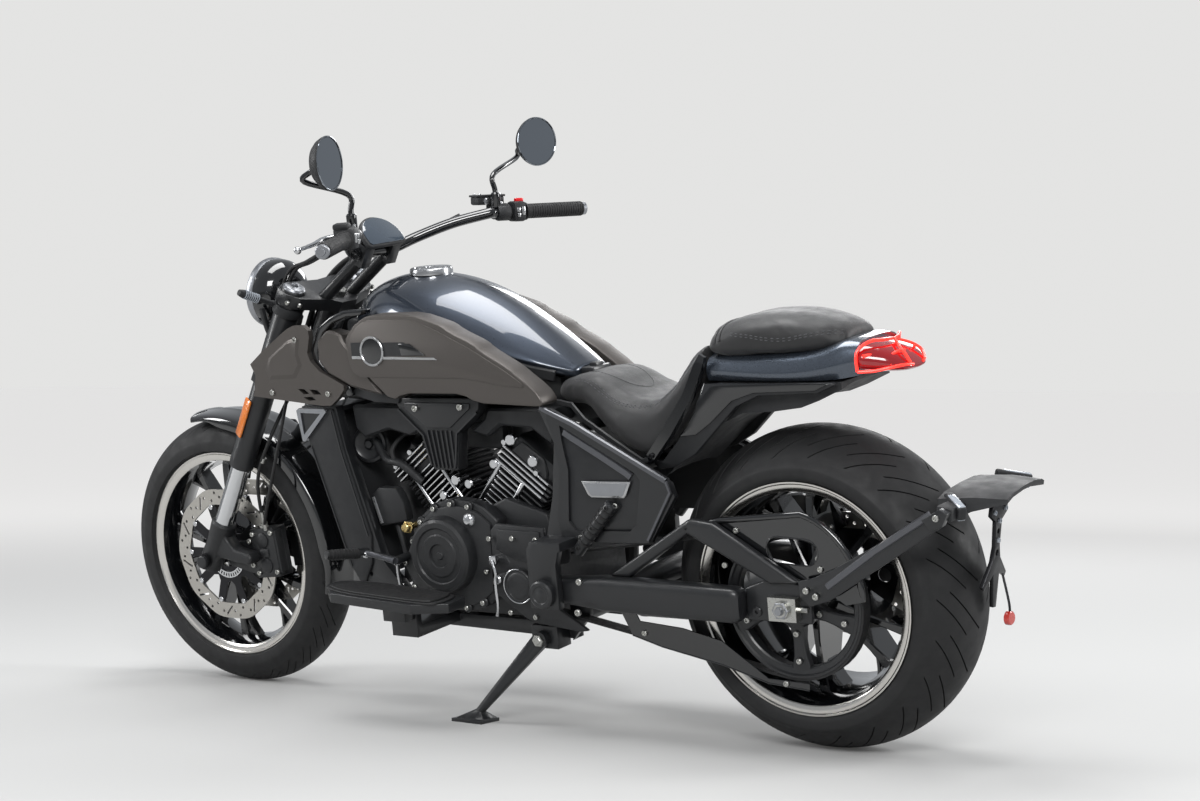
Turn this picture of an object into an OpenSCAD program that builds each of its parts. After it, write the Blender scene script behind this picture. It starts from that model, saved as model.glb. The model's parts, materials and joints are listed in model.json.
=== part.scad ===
// Cruiser motorcycle with a V-twin engine, parked on its side stand.
// Pieces are drawn upright: X runs forward from the rear axle, Y to the rider's left and
// Z up from the ground. parked() then leans the whole machine over onto its stand.

/* [Overall] */
// Distance from the rear axle to the swingarm pivot
swing_length = 530; // [450:5:640]
// Distance from the swingarm pivot to the front axle
front_centre = 1060; // [960:5:1280]
// Lean onto the side stand, in degrees
lean = 9; // [7:0.5:11]
// Clearance between neighbouring pieces
fit = 0.3; // [0.2:0.05:0.5]

/* [Steering] */
// Steering head angle from the vertical, in degrees
rake = 29; // [25:0.5:33]
// Distance from the tyre's contact to the steering axis on the ground
trail = 130; // [110:5:150]
// Distance between the centre lines of the fork legs
fork_spacing = 212; // [200:2:256]
// Radius of the fork's outer tubes
fork_tube_r = 28; // [25:1:29]
// Radius of the fork's sliding tubes
fork_slider_r = 21.5; // [18:0.5:23]
// Distance between the ends of the two grips
bar_width = 890; // [740:10:1080]
// Height of the grips above the ground
grip_height = 1066; // [1000:2:1110]
// Radius of the handlebar's clamped middle
bar_r = 14.3; // [11:0.1:14.5]
// Radius of a mirror head
mirror_r = 56; // [45:1:65]

/* [Front wheel] */
// Outer radius of the front tyre
front_tyre_r = 320; // [300:1:330]
// Width of the front tyre
front_tyre_w = 130; // [110:1:140]
// Radius of the front rim's flange
front_flange_r = 243.6; // [230:0.1:246]
// Radius of the front brake discs
front_disc_r = 160; // [140:1:165]
// Radius of the front axle
front_axle_r = 12.5; // [10:0.5:14]

/* [Rear wheel] */
// Outer radius of the rear tyre
rear_tyre_r = 324; // [305:1:340]
// Width of the rear tyre
rear_tyre_w = 240; // [200:1:260]
// Radius of the rear rim's flange
rear_flange_r = 231; // [220:0.1:234]
// Radius of the rear brake disc
rear_disc_r = 130; // [110:1:140]
// Radius of the rear axle
rear_axle_r = 12.5; // [10:0.5:14]
// Radius of the rear belt pulley
pulley_r = 146; // [122:1:150]
// Width of the drive belt
belt_w = 28; // [24:1:30]

/* [Engine] */
// Half of the angle between the two cylinders, in degrees
half_vee = 37; // [34:0.5:40]
// Height of the crankshaft above the ground
crank_z = 384; // [370:2:396]
// Radius of the round cover over the crankshaft
crank_cover_r = 80; // [65:1:88]

/* [Body] */
// Height of the rider's seat at its lowest point
seat_height = 700; // [690:1:712]
// Width of the rider's seat
seat_w = 300; // [260:2:330]
// Width of the fuel tank
tank_w = 308; // [270:2:320]
// Height of the fuel tank's ridge
tank_top = 976; // [950:1:990]
// Width of the tail cowl
tail_w = 236; // [210:2:250]
// Width of each footboard
board_w = 104; // [90:2:120]
// Length of each footboard
board_l = 340; // [280:5:360]

/* [Side stand] */
// Distance of the stand's foot to the left of the middle of the machine
stand_reach = 196; // [185:1:215]
// Radius of the stand's pivot bolt
stand_bolt_r = 6; // [5:0.5:8]

/* [Hidden] */

matt_black = "#1b1c1e";
satin_black = "#26272a";
gloss_black = "#0e0f11";
steel_grey = "#9a9da2";
deep_grey = "#33363b";
rubber_black = "#17171a";

// running clearance of an axle or a pivot bolt
slip = 0.05;
// smoothness of round pieces
fine = 48;

// axles, pivot and steering head
wheelbase = swing_length + front_centre;
pivot_x = swing_length;
pivot_z = 332;
front_x = wheelbase;
crown_rear = rear_tyre_w * 0.55;
crown_front = front_tyre_w * 0.55;
rear_z = rear_tyre_r;
front_z = front_tyre_r - (crown_rear - crown_front) * (1 - cos(lean)) / cos(lean);
lift = crown_rear * (1 - cos(lean));
head_x = front_x + trail;
fork_y = fork_spacing / 2;
fork_offset = -trail * cos(rake) + front_z * sin(rake);
axle_up = trail * sin(rake) + front_z * cos(rake);
yoke_low = axle_up + 482;
yoke_low_t = 34;
yoke_top = axle_up + 690;
yoke_top_t = 28;
fork_top = axle_up + 724;
slider_top = axle_up + 262;
slider_low = axle_up + 104;
stem_r = 15;
riser_foot = 10;
riser_back = -61;
riser_top = yoke_top + yoke_top_t + 139;
clamp_x = head_x + riser_back * cos(rake) - riser_top * sin(rake);
clamp_z = riser_back * sin(rake) + riser_top * cos(rake);
bar_tube_r = 11;
head_tube_r = 31;
head_gap = 1;

// front wheel
front_hub_half = 56;
disc_t = 5;
disc_y = front_hub_half;
front_rim_half = front_tyre_w / 2 - 10.5;

// rear wheel and drive
rear_rim_half = rear_tyre_w / 2 - 2;
rear_hub_half = 100;
rear_disc_t = 6;
belt_y = rear_tyre_w / 2 + 5.5;
belt_t = 5;
arm_y = belt_y + belt_w + 9;
arm_w = 50;
arm_half_h = 35;
sprocket_r = 48;
sprocket_x = pivot_x + 90;
sprocket_z = pivot_z;

// crankcase
crank_x = pivot_x + 285;
case_left = belt_y - 5;
case_right = 128;
cylinder_reach = 238;
head_half_w = 84;

// tank and seat
tank_rear = pivot_x - 2;
tank_front = front_x - 462;
tank_long = tank_front - tank_rear;
tank_rise = tank_top - 976;
tank_base = 782;

// ends of the machine, which place the frame's origin
tail_end_x = -(rear_tyre_r + 108);
origin_x = (tail_end_x + front_x + front_tyre_r) / 2;
grip_y = bar_width / 2;
board_in = 236;
left_end = grip_y * cos(lean) + grip_height * sin(lean);
right_end = -(board_in + board_w) * cos(lean) + 305 * sin(lean);
origin_y = (left_end + right_end) / 2;

// the straight end of the handlebar, under the controls and the grip
grip_in = [clamp_x - 155, 236, grip_height + 8];
grip_out = [clamp_x - 252, grip_y, grip_height - 6];

// ---------- helpers ----------

module parked() {
    translate([-origin_x, -origin_y, lift]) rotate([-lean, 0, 0]) children();
}

// the steering head's own frame: Z up along the steering axis, X ahead of it
module head() {
    parked() translate([head_x, 0, 0]) rotate([0, -rake, 0]) children();
}

module both() {
    children();
    mirror([0, 1, 0]) children();
}

// a plate cut to an outline of x and z, from y = a to y = b
module slab(outline, a, b) {
    translate([0, b, 0]) rotate([90, 0, 0]) linear_extrude(b - a) polygon(outline);
}

// a round bar or hole along Y, from y = a to y = b
module cross_bar(x, z, r, a, b) {
    translate([x, a, z]) rotate([-90, 0, 0]) cylinder(h = b - a, r = r, $fn = fine);
}

// a round rod between two points
module rod(a, b, r) {
    d = b - a;
    translate(a) rotate([0, acos(d[2] / norm(d)), atan2(d[1], d[0])])
        cylinder(h = norm(d), r = r, $fn = fine);
}

// a wheel piece turned about Y at a wheel's centre
module wheel_turned(x, z) {
    translate([x, 0, z]) rotate([-90, 0, 0]) children();
}

function unit(v) = v / norm(v);

// a smooth run of points through a few given ones, with n steps between two of them
function smooth(p, n) = [
    for (i = [0 : len(p) - 2])
        let (a = p[max(i - 1, 0)], b = p[i], c = p[i + 1], d = p[min(i + 2, len(p) - 1)])
        for (k = [0 : (i == len(p) - 2 ? n : n - 1)])
            let (t = k / n)
            0.5 * (2 * b + (c - a) * t + (2 * a - 5 * b + 4 * c - d) * t * t
                + (3 * b - a - 3 * c + d) * t * t * t)];

// a closed skin through rings with equal numbers of points, which turn left-handed along it
module skin(rings) {
    n = len(rings[0]);
    m = len(rings);
    points = [for (ring = rings) each ring];
    walls = [for (i = [0 : m - 2]) for (j = [0 : n - 1]) let (k = (j + 1) % n)
        each [[i * n + j, i * n + k, (i + 1) * n + k], [i * n + j, (i + 1) * n + k, (i + 1) * n + j]]];
    first = [for (j = [n - 1 : -1 : 0]) j];
    last = [for (j = [0 : n - 1]) (m - 1) * n + j];
    polyhedron(points, concat(walls, [first, last]));
}

// a bent tube of radius r along a path, with the given number of sides
module bent_tube(path, r, sides = 12) {
    m = len(path);
    rings = [for (i = [0 : m - 1])
        let (t = unit(path[min(i + 1, m - 1)] - path[max(i - 1, 0)]),
             ref = abs(t[1]) > 0.8 ? [1, 0, 0] : [0, 1, 0],
             u = unit(cross(ref, t)),
             v = cross(t, u))
        [for (j = [0 : sides - 1])
            path[i] + r * (cos(360 * j / sides) * u - sin(360 * j / sides) * v)]];
    skin(rings);
}

// a ring across the machine at x: half width w, from z = low to z = high, squarer with more power
function cross_ring(x, w, low, high, power = 2.4, n = 24) = [
    for (j = [0 : n - 1])
        let (a = 360 * j / n, c = cos(a), s = sin(a))
        [x, w * sign(c) * pow(abs(c), 2 / power),
            (low + high) / 2 + (high - low) / 2 * sign(s) * pow(abs(s), 2 / power)]];

// half outline of a tyre: crown arc, shoulder, sidewall and bead, as radius and width
function tyre_half(r, w, crown, flange, half_rim) = concat(
    [for (a = [0 : 6 : 54]) [r - crown + crown * cos(a), crown * sin(a)]],
    [[flange + 26, w / 2 - 1], [flange + 14, w / 2], [flange + 4, w / 2 - 2],
     [flange + 1, half_rim - 6], [flange - 12, half_rim - 11.5], [flange - 12, half_rim - 34]]);

module tyre(r, w, crown, flange, half_rim) {
    half = tyre_half(r, w, crown, flange, half_rim);
    other = [for (i = [len(half) - 1 : -1 : 1]) [half[i][0], -half[i][1]]];
    rotate_extrude($fn = 96) polygon(concat(half, other));
}

// a rim with paired straight spokes and a hub bored for its axle
module spoked_rim(flange, half_rim, hub_half, bore, spoke_half, hub_r = 42) {
    outer = [[flange, half_rim], [flange, half_rim - 4], [flange - 12.6, half_rim - 10],
             [flange - 12.6, half_rim - 30], [flange - 24, half_rim - 36]];
    inner = [[flange - 32, half_rim - 36], [flange - 20, half_rim - 14], [flange - 8, half_rim]];
    up = concat(outer, [for (i = [len(outer) - 1 : -1 : 0]) [outer[i][0], -outer[i][1]]]);
    down = concat([for (i = [len(inner) - 1 : -1 : 0]) [inner[i][0], -inner[i][1]]], inner);
    difference() {
        union() {
            rotate_extrude($fn = 96) polygon(concat(up, down));
            cylinder(h = 2 * hub_half, r = hub_r, center = true, $fn = fine);
            for (k = [0 : 4])
                for (s = [-1, 1])
                    rotate([0, 0, 72 * k + s * 10])
                        translate([hub_r - 8, s * 6 - 6, -spoke_half])
                            cube([flange - hub_r - 21, 12, 2 * spoke_half]);
        }
        cylinder(h = 2 * hub_half + 2, r = bore, center = true, $fn = fine);
    }
}

// ---------- frame ----------

// height of the spine's underside at x
function spine_low(x) = 650 + 50 * (x - pivot_x - 30) / (head_x - pivot_x - 485);

// a point behind the steering axis, as upright x and z: ahead of it by a and up it by b
function at_head(a, b) = [head_x + a * cos(rake) - b * sin(rake), a * sin(rake) + b * cos(rake)];

module backbone() {
    neck_low = yoke_low + yoke_low_t + 13;
    neck_x = at_head(-66, yoke_low + 8)[0];
    parked() color(satin_black) union() {
        difference() {
            slab([at_head(-5, yoke_top - 72), at_head(-10, neck_low), at_head(-62, neck_low - 6),
                  [neck_x, spine_low(neck_x)], [pivot_x + 30, 650],
                  [pivot_x - 20, 640], [pivot_x - 100, 590], [pivot_x - 190, 552], [pivot_x - 222, 560],
                  [pivot_x - 222, 596], [pivot_x - 195, 602], [pivot_x - 130, 634], [pivot_x - 50, 700.7],
                  [pivot_x + 52, 700.7], [pivot_x + 56, 742], [pivot_x + 72, 747],
                  [tank_rear + 0.253 * tank_long, 766], [tank_rear + 0.404 * tank_long, tank_base - fit], [head_x - 600, tank_base - fit]], -34, 34);
            translate([head_x, 0, 0]) rotate([0, -rake, 0])
                translate([0, 0, yoke_low]) cylinder(h = 400, r = head_tube_r - 1, $fn = fine);
        }
        translate([head_x, 0, 0]) rotate([0, -rake, 0]) difference() {
            translate([0, 0, yoke_low + yoke_low_t + head_gap])
                cylinder(h = yoke_top - yoke_low - yoke_low_t - 2 * head_gap, r = head_tube_r, $fn = fine);
            translate([0, 0, yoke_low])
                cylinder(h = 400, r = stem_r + slip, $fn = fine);
        }
    }
}

// the upper spar is beside the seat, and the pivot plate is outboard of the swingarm
spar_in = belt_y + belt_w + 2;
spar_out = spar_in + 14;
pivot_plate_in = arm_y + arm_w + 3;
pivot_plate_out = pivot_plate_in + 18;

module side_plates() {
    bridge_low = 420;
    parked() color(satin_black) both() difference() {
        union() {
            slab([[pivot_x + 18, 697], [pivot_x - 6, 700], [pivot_x - 282, 556], [pivot_x - 292, 528],
                  [pivot_x - 226, 432], [pivot_x - 60, 428], [pivot_x - 54, bridge_low],
                  [pivot_x + 32, bridge_low], [pivot_x + 4, 520], [pivot_x - 12, 630]], spar_in, spar_out);
            slab([[pivot_x - 48, 438], [pivot_x - 48, bridge_low], [pivot_x + 32, bridge_low], [pivot_x + 26, 438]],
                 spar_in, pivot_plate_out);
            slab([[pivot_x - 48, 438], [pivot_x - 34, 392], [pivot_x - 34, 300], [pivot_x + 36, 300],
                  [pivot_x + 36, 420], [pivot_x + 26, 438]], pivot_plate_in, pivot_plate_out);
            cross_bar(pivot_x - 60, 655, 12, 34 + fit, spar_in + 1);
            cross_bar(pivot_x - 185, 578, 12, 34 + fit, spar_in + 1);
        }
        cross_bar(pivot_x, pivot_z, 12 + slip, arm_y, pivot_plate_out + 10);
    }
}

// top of the lower frame rails, and the underside of the crankcase
rail_top = 283;
case_low = 246;
guard_hole_r = 5;

module down_frame() {
    front = front_x - 372;
    low = front_x - 500;
    top = spine_low(front - 90) - fit;
    parked() color(satin_black) union() {
        both() difference() {
            slab([[front, 694], [front - 100, 694], [front - 118, 600], [low - 64, 350],
                  [low - 120, 292], [low, 284], [low + 26, 330], [front - 14, 610]], 122, 146);
            cross_bar(front - 60, 640, guard_hole_r, 120, 150);
            cross_bar(low - 24, 322, guard_hole_r, 120, 150);
        }
        slab([[front - 20, top], [front - 90, top], [front - 92, top - 10], [front - 20, top - 10]], -122, 122);
        slab([[low - 60, 300], [low - 60, rail_top + fit], [low, rail_top + fit], [low, 298]], -124, 124);
    }
}

module radiator() {
    top_x = front_x - 408;
    low_x = front_x - 508;
    top = spine_low(front_x - 462) - 10 - 2 * fit;
    parked() color(matt_black) union() {
        slab([[top_x, 666], [top_x - 38, 666], [low_x - 38, 316], [low_x, 316]], -112, 112);
        slab([[top_x - 6, top], [top_x - 32, top], [top_x - 34, 664], [top_x - 4, 664]], -112, 112);
        both() slab([[top_x - 30, 640], [top_x - 44, 600], [top_x - 28, 600], [top_x - 14, 640]], 111, 122 - fit);
    }
}

module lower_cradle() {
    rail_rear = pivot_x + 20;
    rail_front = front_x - 520;
    parked() color(matt_black) difference() {
        union() {
            both() slab([[rail_rear, 236], [rail_rear, 204], [rail_front, 214], [rail_front + 22, rail_top],
                         [rail_front - 22, rail_top], [rail_front - 30, 240]], 84, 112);
            for (x = [rail_rear + 30, crank_x, rail_front - 60])
                cross_bar(x, case_low - fit - 14, 14, -90, 90);
            slab([[stand_x - 36, 240], [stand_x - 36, 192], [stand_x + 30, 192], [stand_x + 30, 240]],
                 112, stand_y - 9);
            both() slab([[crank_x + 40, 246], [crank_x + 40, 222], [crank_x + 110, 222], [crank_x + 110, 246]],
                        112, board_in + 20);
            both() slab([[crank_x + 40, 280], [crank_x + 40, 246], [crank_x + 110, 246], [crank_x + 110, 280]],
                        board_in + 4, board_in + 20);
            both() slab([[rail_rear, 236], [rail_rear, 204], [pivot_x - 30, 262], [pivot_x - 30, 294],
                         [pivot_x + 20, 294]], 112, belt_y - 2);
        }
        cross_bar(stand_x, stand_z, stand_bolt_r + slip, 100, stand_y + 20);
    }
}

// ---------- engine ----------

module engine_block() {
    parked() color(matt_black) difference() {
        slab([[pivot_x + 42, case_low], [crank_x + 120, case_low], [crank_x + 150, 300], [crank_x + 140, 430],
              [crank_x + 90, 470], [crank_x + 6, 452], [crank_x - 40, 466], [crank_x - 120, 500],
              [pivot_x + 60, 470], [pivot_x + 42, 400]], -case_right, case_left);
        for (s = [-1, 1]) in_cylinder(s) translate([-90, -100, 92 - fit]) cube([180, 200, 300]);
    }
}

// a cylinder's own frame: Z runs out from the crankshaft, s is 1 for the front one
module in_cylinder(s) {
    translate([crank_x - 22, 0, crank_z - 14]) rotate([0, s * half_vee, 0]) children();
}

module engine_covers() {
    case_face = case_left + fit;
    big = [[crank_x - 128, 300], [crank_x - 60, 262], [crank_x + 60, 256], [crank_x + 96, 300],
           [crank_x + 108, 400], [crank_x + 60, 462], [crank_x - 30, 474], [crank_x - 128, 452]];
    parked() color(satin_black) union() {
        slab(big, case_face, 168);
        translate([crank_x + 16, 168, crank_z]) rotate([-90, 0, 0])
            cylinder(h = 26, r1 = crank_cover_r + 4, r2 = crank_cover_r, $fn = fine);
        slab([[crank_x - 128, 452], [crank_x - 128, 300], [pivot_x + 84, 250], [pivot_x + 42, 256],
              [pivot_x + 42, 452]], belt_y + belt_w + 5, 172);
        cross_bar(sprocket_x + 3, sprocket_z, 36, 172, 184);
        slab([for (p = big) [p[0], p[1] + 2]], -158, -case_right - fit);
        cross_bar(crank_x + 10, crank_z, crank_cover_r + 6, -182, -158);
    }
}

module fins(count, pitch, long, wide) {
    for (i = [0 : count - 1])
        translate([-long / 2, -wide / 2, i * pitch]) cube([long, wide, pitch * 0.5]);
}

module cylinder_with_fins(s) {
    parked() color(matt_black) in_cylinder(s) union() {
        translate([-55, -62, 92]) cube([110, 124, cylinder_reach - 92]);
        translate([0, 0, 100]) fins(8, 14, 138, 172);
        translate([-76, -92, cylinder_reach - 26]) cube([152, 184, 18]);
        translate([-66, -head_half_w, cylinder_reach - 8]) cube([132, 2 * head_half_w, 50]);
    }
}

module front_cylinder() {
    cylinder_with_fins(1);
}

module rear_cylinder() {
    cylinder_with_fins(-1);
}

module air_cover() {
    mid = crank_x - 22;
    parked() color(matt_black) union() {
        both() difference() {
            slab([[crank_x + 128, 716], [crank_x - 96, 716], [crank_x - 78, 672], [crank_x - 22, 560],
                  [crank_x + 46, 560], [crank_x + 92, 664]], 112, 150);
            for (i = [0 : 4])
                translate([crank_x - 14 + 15 * i, 144, 572]) rotate([0, -8, 0]) cube([5, 10, 84]);
        }
        slab([[mid + 40, spine_low(mid + 40) - fit], [mid - 40, spine_low(mid - 40) - fit],
              [mid - 28, 604], [mid + 28, 604]], -112, 112);
    }
}

// ---------- exhaust ----------

silencer_y = -(arm_y + 58);
silencer_z = 218;
silencer_r = 52;
port_reach = 254;

// a point in a cylinder head, as x and z: s is 1 for the front one, across runs square to its bore
function in_head(s, across) = [
    crank_x - 22 + s * port_reach * sin(half_vee) + across * cos(half_vee),
    crank_z - 14 + port_reach * cos(half_vee) - s * across * sin(half_vee)];

module exhaust() {
    port_y = -(head_half_w + fit);
    front_port = in_head(1, 20);
    rear_port = in_head(-1, 9);
    front_run = smooth([[front_port[0], -104, front_port[1]], [crank_x + 196, -146, 530],
                        [crank_x + 196, -160, 420],
                        [crank_x + 168, -180, 290], [crank_x + 124, -196, 196], [crank_x + 40, -206, 190],
                        [pivot_x + 110, silencer_y, silencer_z - 12]], 3);
    rear_run = smooth([[rear_port[0], -104, rear_port[1]], [pivot_x + 98, -166, 570],
                       [pivot_x + 84, -206, 530], [pivot_x + 84, -214, 400],
                       [pivot_x + 92, -212, 300], [pivot_x + 96, silencer_y, silencer_z + 20]], 3);
    parked() color(steel_grey) union() {
        bent_tube(concat([[front_port[0], port_y, front_port[1]]], front_run), 21, 12);
        bent_tube(concat([[rear_port[0], port_y, rear_port[1]]], rear_run), 21, 12);
        translate([pivot_x + 130, silencer_y, silencer_z]) rotate([0, -90, 0])
            cylinder(h = 70, r1 = 34, r2 = silencer_r, $fn = fine);
        translate([pivot_x + 60, silencer_y, silencer_z]) rotate([0, -90, 0])
            cylinder(h = 500, r = silencer_r, $fn = fine);
        for (z = [-22, 22])
            translate([pivot_x - 430, silencer_y, silencer_z + z]) rotate([0, -90, 0])
                cylinder(h = 60, r = 19, $fn = fine);
    }
}

// ---------- tank and panels ----------

// stations along the tank, front first: share of its length, ridge height, half-width share,
// shoulder height and base height
tank_stations = [
    [1.00, 900, 0.30, 840, 806], [0.92, 946, 0.56, 866, tank_base], [0.82, 970, 0.82, 886, tank_base],
    [0.70, 976, 0.97, 890, tank_base], [0.55, 964, 1.00, 876, tank_base],
    [0.40, 932, 0.95, 842, tank_base], [0.25, 880, 0.82, 806, 771], [0.12, 822, 0.64, 782, 754],
    [0.04, 784, 0.47, 766, 750],
    [0.00, 766, 0.34, 759, 750]];

function tank_ring(x, w, top, shoulder, base) = concat(
    [for (a = [0 : 15 : 180])
        [x, w * sign(cos(a)) * pow(abs(cos(a)), 0.8), shoulder + (top - shoulder) * pow(sin(a), 0.9)]],
    [[x, -w * 0.95, (shoulder + base) / 2], [x, -w * 0.6, base], [x, w * 0.6, base],
     [x, w * 0.95, (shoulder + base) / 2]]);

// the tank's outside, grown by a clearance
module tank_body(grow) {
    long = tank_front - tank_rear;
    skin([for (s = tank_stations)
        tank_ring(tank_rear + s[0] * long + grow * (2 * s[0] - 1), tank_w / 2 * s[2] + grow,
                  s[1] + tank_rise + grow, s[3] + tank_rise, s[4] - grow)]);
}

module fuel_tank() {
    parked() color(deep_grey) union() {
        tank_body(0);
        translate([tank_rear + 0.67 * tank_long, 0, tank_top - 12])
            rotate([0, -2, 0]) cylinder(h = 18, r = 42, $fn = fine);
    }
}

panel_outline = [
    [front_x - 545, 838], [front_x - 571, 872], [front_x - 616, 893], [crank_x + 43, 894],
    [crank_x - 20, 876], [crank_x - 110, 836], [crank_x - 140, 820], [pivot_x + 44, 738],
    [pivot_x + 18, 712], [pivot_x + 24, 706], [crank_x - 120, 718.5], [crank_x - 70, 732],
    [crank_x + 88, 732], [crank_x + 108, 718.5], [front_x - 590, 740]];

module tank_panels() {
    parked() color(deep_grey) both() difference() {
        slab(panel_outline, 114, 186);
        translate([pivot_x - 100, 106, 660]) rotate([0, 0, 15]) cube([330, 120, 260]);
        tank_body(4 * fit);
    }
}

module head_shrouds() {
    shroud_in = fork_y + 49;
    parked() color(deep_grey) union() {
        both() slab([[front_x - 254, 793], [front_x - 299, 824], [front_x - 375, 870], [front_x - 426, 878],
                     [front_x - 440, 854], [front_x - 429, 817], [front_x - 458, 777], [front_x - 526, 742],
                     [front_x - 505, 718], [front_x - 482, 700], [front_x - 252, 720], [front_x - 266, 768]],
                    shroud_in, shroud_in + 16);
        both() slab([[front_x - 415, 795], [front_x - 430, 795], [front_x - 430, 770], [front_x - 415, 770]],
                    34 + fit, shroud_in);
    }
}

// ---------- seats and tail ----------

module rider_seat() {
    rise = seat_height - 700;
    w = seat_w / 2;
    parked() color(rubber_black) skin([
        cross_ring(pivot_x + 46, w * 0.40, 704, 726, 3),
        cross_ring(pivot_x + 24, w * 0.54, 701, 744, 3.2),
        cross_ring(pivot_x - 4, w * 0.62, 701, 747, 3.4),
        cross_ring(pivot_x - 50, w * 0.74, 701, 757, 3.6),
        cross_ring(pivot_x - 130, w * 0.92, 640, 728 + rise / 2, 4),
        cross_ring(pivot_x - 178, w, 612, 702 + rise, 4),
        cross_ring(pivot_x - 226, w * 0.99, 600, 706 + rise, 4),
        cross_ring(pivot_x - 262, w * 0.92, 630, 728 + rise / 2, 4),
        cross_ring(pivot_x - 290, w * 0.84, 665, 762, 4),
        cross_ring(pivot_x - 316, w * 0.78, 704, 800, 4),
        cross_ring(pivot_x - 344, w * 0.74, 764, 826, 3.4)]);
}

module pillion_seat() {
    parked() color(rubber_black) skin([
        cross_ring(pivot_x - 350, 108, 798, 830, 3),
        cross_ring(pivot_x - 372, 122, 798.5, 852, 3.2),
        cross_ring(pivot_x - 420, 126, 799.6, 866, 3.4),
        cross_ring(pivot_x - 500, 118, 800.6, 868, 3.4),
        cross_ring(pivot_x - 580, 98, 801.6, 858, 3.2),
        cross_ring(pivot_x - 630, 76, 806, 846, 3),
        cross_ring(pivot_x - 650, 60, 812, 832, 3)]);
}

module tail_cowl() {
    w = tail_w / 2;
    parked() color(deep_grey) skin([
        cross_ring(pivot_x - 356, w * 0.86, 747.3, 796, 3.4),
        cross_ring(pivot_x - 420, w * 0.98, 747.3, 799, 3.4),
        cross_ring(pivot_x - 520, w, 747.3, 800, 3.4),
        cross_ring(pivot_x - 600, w * 0.96, 749, 801, 3.2),
        cross_ring(pivot_x - 630, w * 0.86, 752, 805, 3),
        cross_ring(pivot_x - 668, w * 0.76, 756, 812, 3)]);
}

module tail_lamp() {
    w = tail_w / 2;
    parked() color("#b3121c") skin([
        cross_ring(pivot_x - 668.4, w * 0.75, 757, 811, 3),
        cross_ring(pivot_x - 700, w * 0.66, 755, 808, 3),
        cross_ring(pivot_x - 730, w * 0.52, 754, 796, 3),
        cross_ring(pivot_x - 752, w * 0.36, 756, 778, 3)]);
}

module tail_sides() {
    parked() color(gloss_black) both()
        slab([[pivot_x - 352, 747], [pivot_x - 318, 680], [pivot_x - 286, 640], [pivot_x - 240, 588],
              [pivot_x - 208, 592], [pivot_x - 202, 578], [pivot_x - 300, 560], [pivot_x - 352, 596],
              [pivot_x - 470, 690], [pivot_x - 600, 724], [pivot_x - 640, 744], [pivot_x - 640, 747]],
             tail_w / 2 - 16, tail_w / 2 + 2);
}

module rear_mudguard() {
    parked() color(matt_black)
        slab([[pivot_x - 352, 747], [pivot_x - 640, 747], [pivot_x - 560, 704], [pivot_x - 500, 690],
              [pivot_x - 420, 690], [pivot_x - 330, 640], [pivot_x - 262, 562],
              [pivot_x - 222 - fit, 556], [pivot_x - 222 - fit, 590], [pivot_x - 240, 588],
              [pivot_x - 286, 640], [pivot_x - 318, 680]], -tail_w / 2 + 16 + fit, tail_w / 2 - 16 - fit);
}

// ---------- rear end ----------

// the swingarm's own frame: X runs from the rear axle to the pivot
module in_arm() {
    translate([0, 0, rear_z]) rotate([0, -atan2(pivot_z - rear_z, pivot_x), 0]) children();
}

// threaded bores for the bobbins of a workshop stand
stand_bore_r = 4;

module swingarm() {
    long = norm([pivot_x, pivot_z - rear_z]);
    clear_x = rear_tyre_r + 24;
    slot_r = rear_axle_r + 3;
    parked() color(satin_black) in_arm() difference() {
        union() {
            both() {
                slab([[88, arm_half_h - 6], [96, arm_half_h], [long - 120, arm_half_h],
                      [long, 26], [long + 24, 0], [long, -26], [long - 120, -arm_half_h],
                      [96, -arm_half_h], [88, -arm_half_h + 6]], arm_y, arm_y + arm_w);
                slab([[-52, 30], [-52, -30], [90, -32], [90, 32], [40, 52], [-20, 50]], arm_y, arm_y + 14);
                slab([[-34, 50], [30, 44], [232, 142], [206, 162], [150, 156]], arm_y, arm_y + 24);
                slab([[204, 162], [404, 34], [352, 34], [196, 140]], arm_y, arm_y + 24);
            }
            cross_bar(clear_x + 44, 0, 26, -arm_y, arm_y);
            cross_bar(long, 0, 24, -arm_y, -case_right - 4);
            cross_bar(long, 0, 24, case_left + 34, arm_y);
        }
        both() cross_bar(66, -14, stand_bore_r, arm_y - 1, arm_y + 15);
        cross_bar(long, 0, 12 + slip, -arm_y - arm_w - 1, arm_y + arm_w + 1);
        both() {
            slab([[-18, -slot_r], [18, -slot_r], [18, slot_r], [-18, slot_r]], arm_y - 1, arm_y + 15);
            cross_bar(-18, 0, slot_r, arm_y - 1, arm_y + 15);
            cross_bar(18, 0, slot_r, arm_y - 1, arm_y + 15);
        }
    }
}

module rear_axle() {
    out = arm_y + 14;
    parked() color(steel_grey) union() {
        cross_bar(0, rear_z, rear_axle_r, -out - 30, out + 30);
        cross_bar(0, rear_z, 20, belt_y + belt_w + 1, arm_y - fit);
        cross_bar(0, rear_z, 20, -arm_y + fit, -rear_hub_half - rear_disc_t - 1);
        both() {
            translate([-30, out + fit, rear_z - 23]) cube([60, 20, 46]);
            cross_bar(0, rear_z, 17, out + 20, out + 28);
        }
        both() cross_bar(pivot_x, pivot_z, 12, arm_y + 4, pivot_plate_out + 13);
        both() cross_bar(pivot_x, pivot_z, 28, pivot_plate_out + fit, pivot_plate_out + 13);
    }
}

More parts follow.
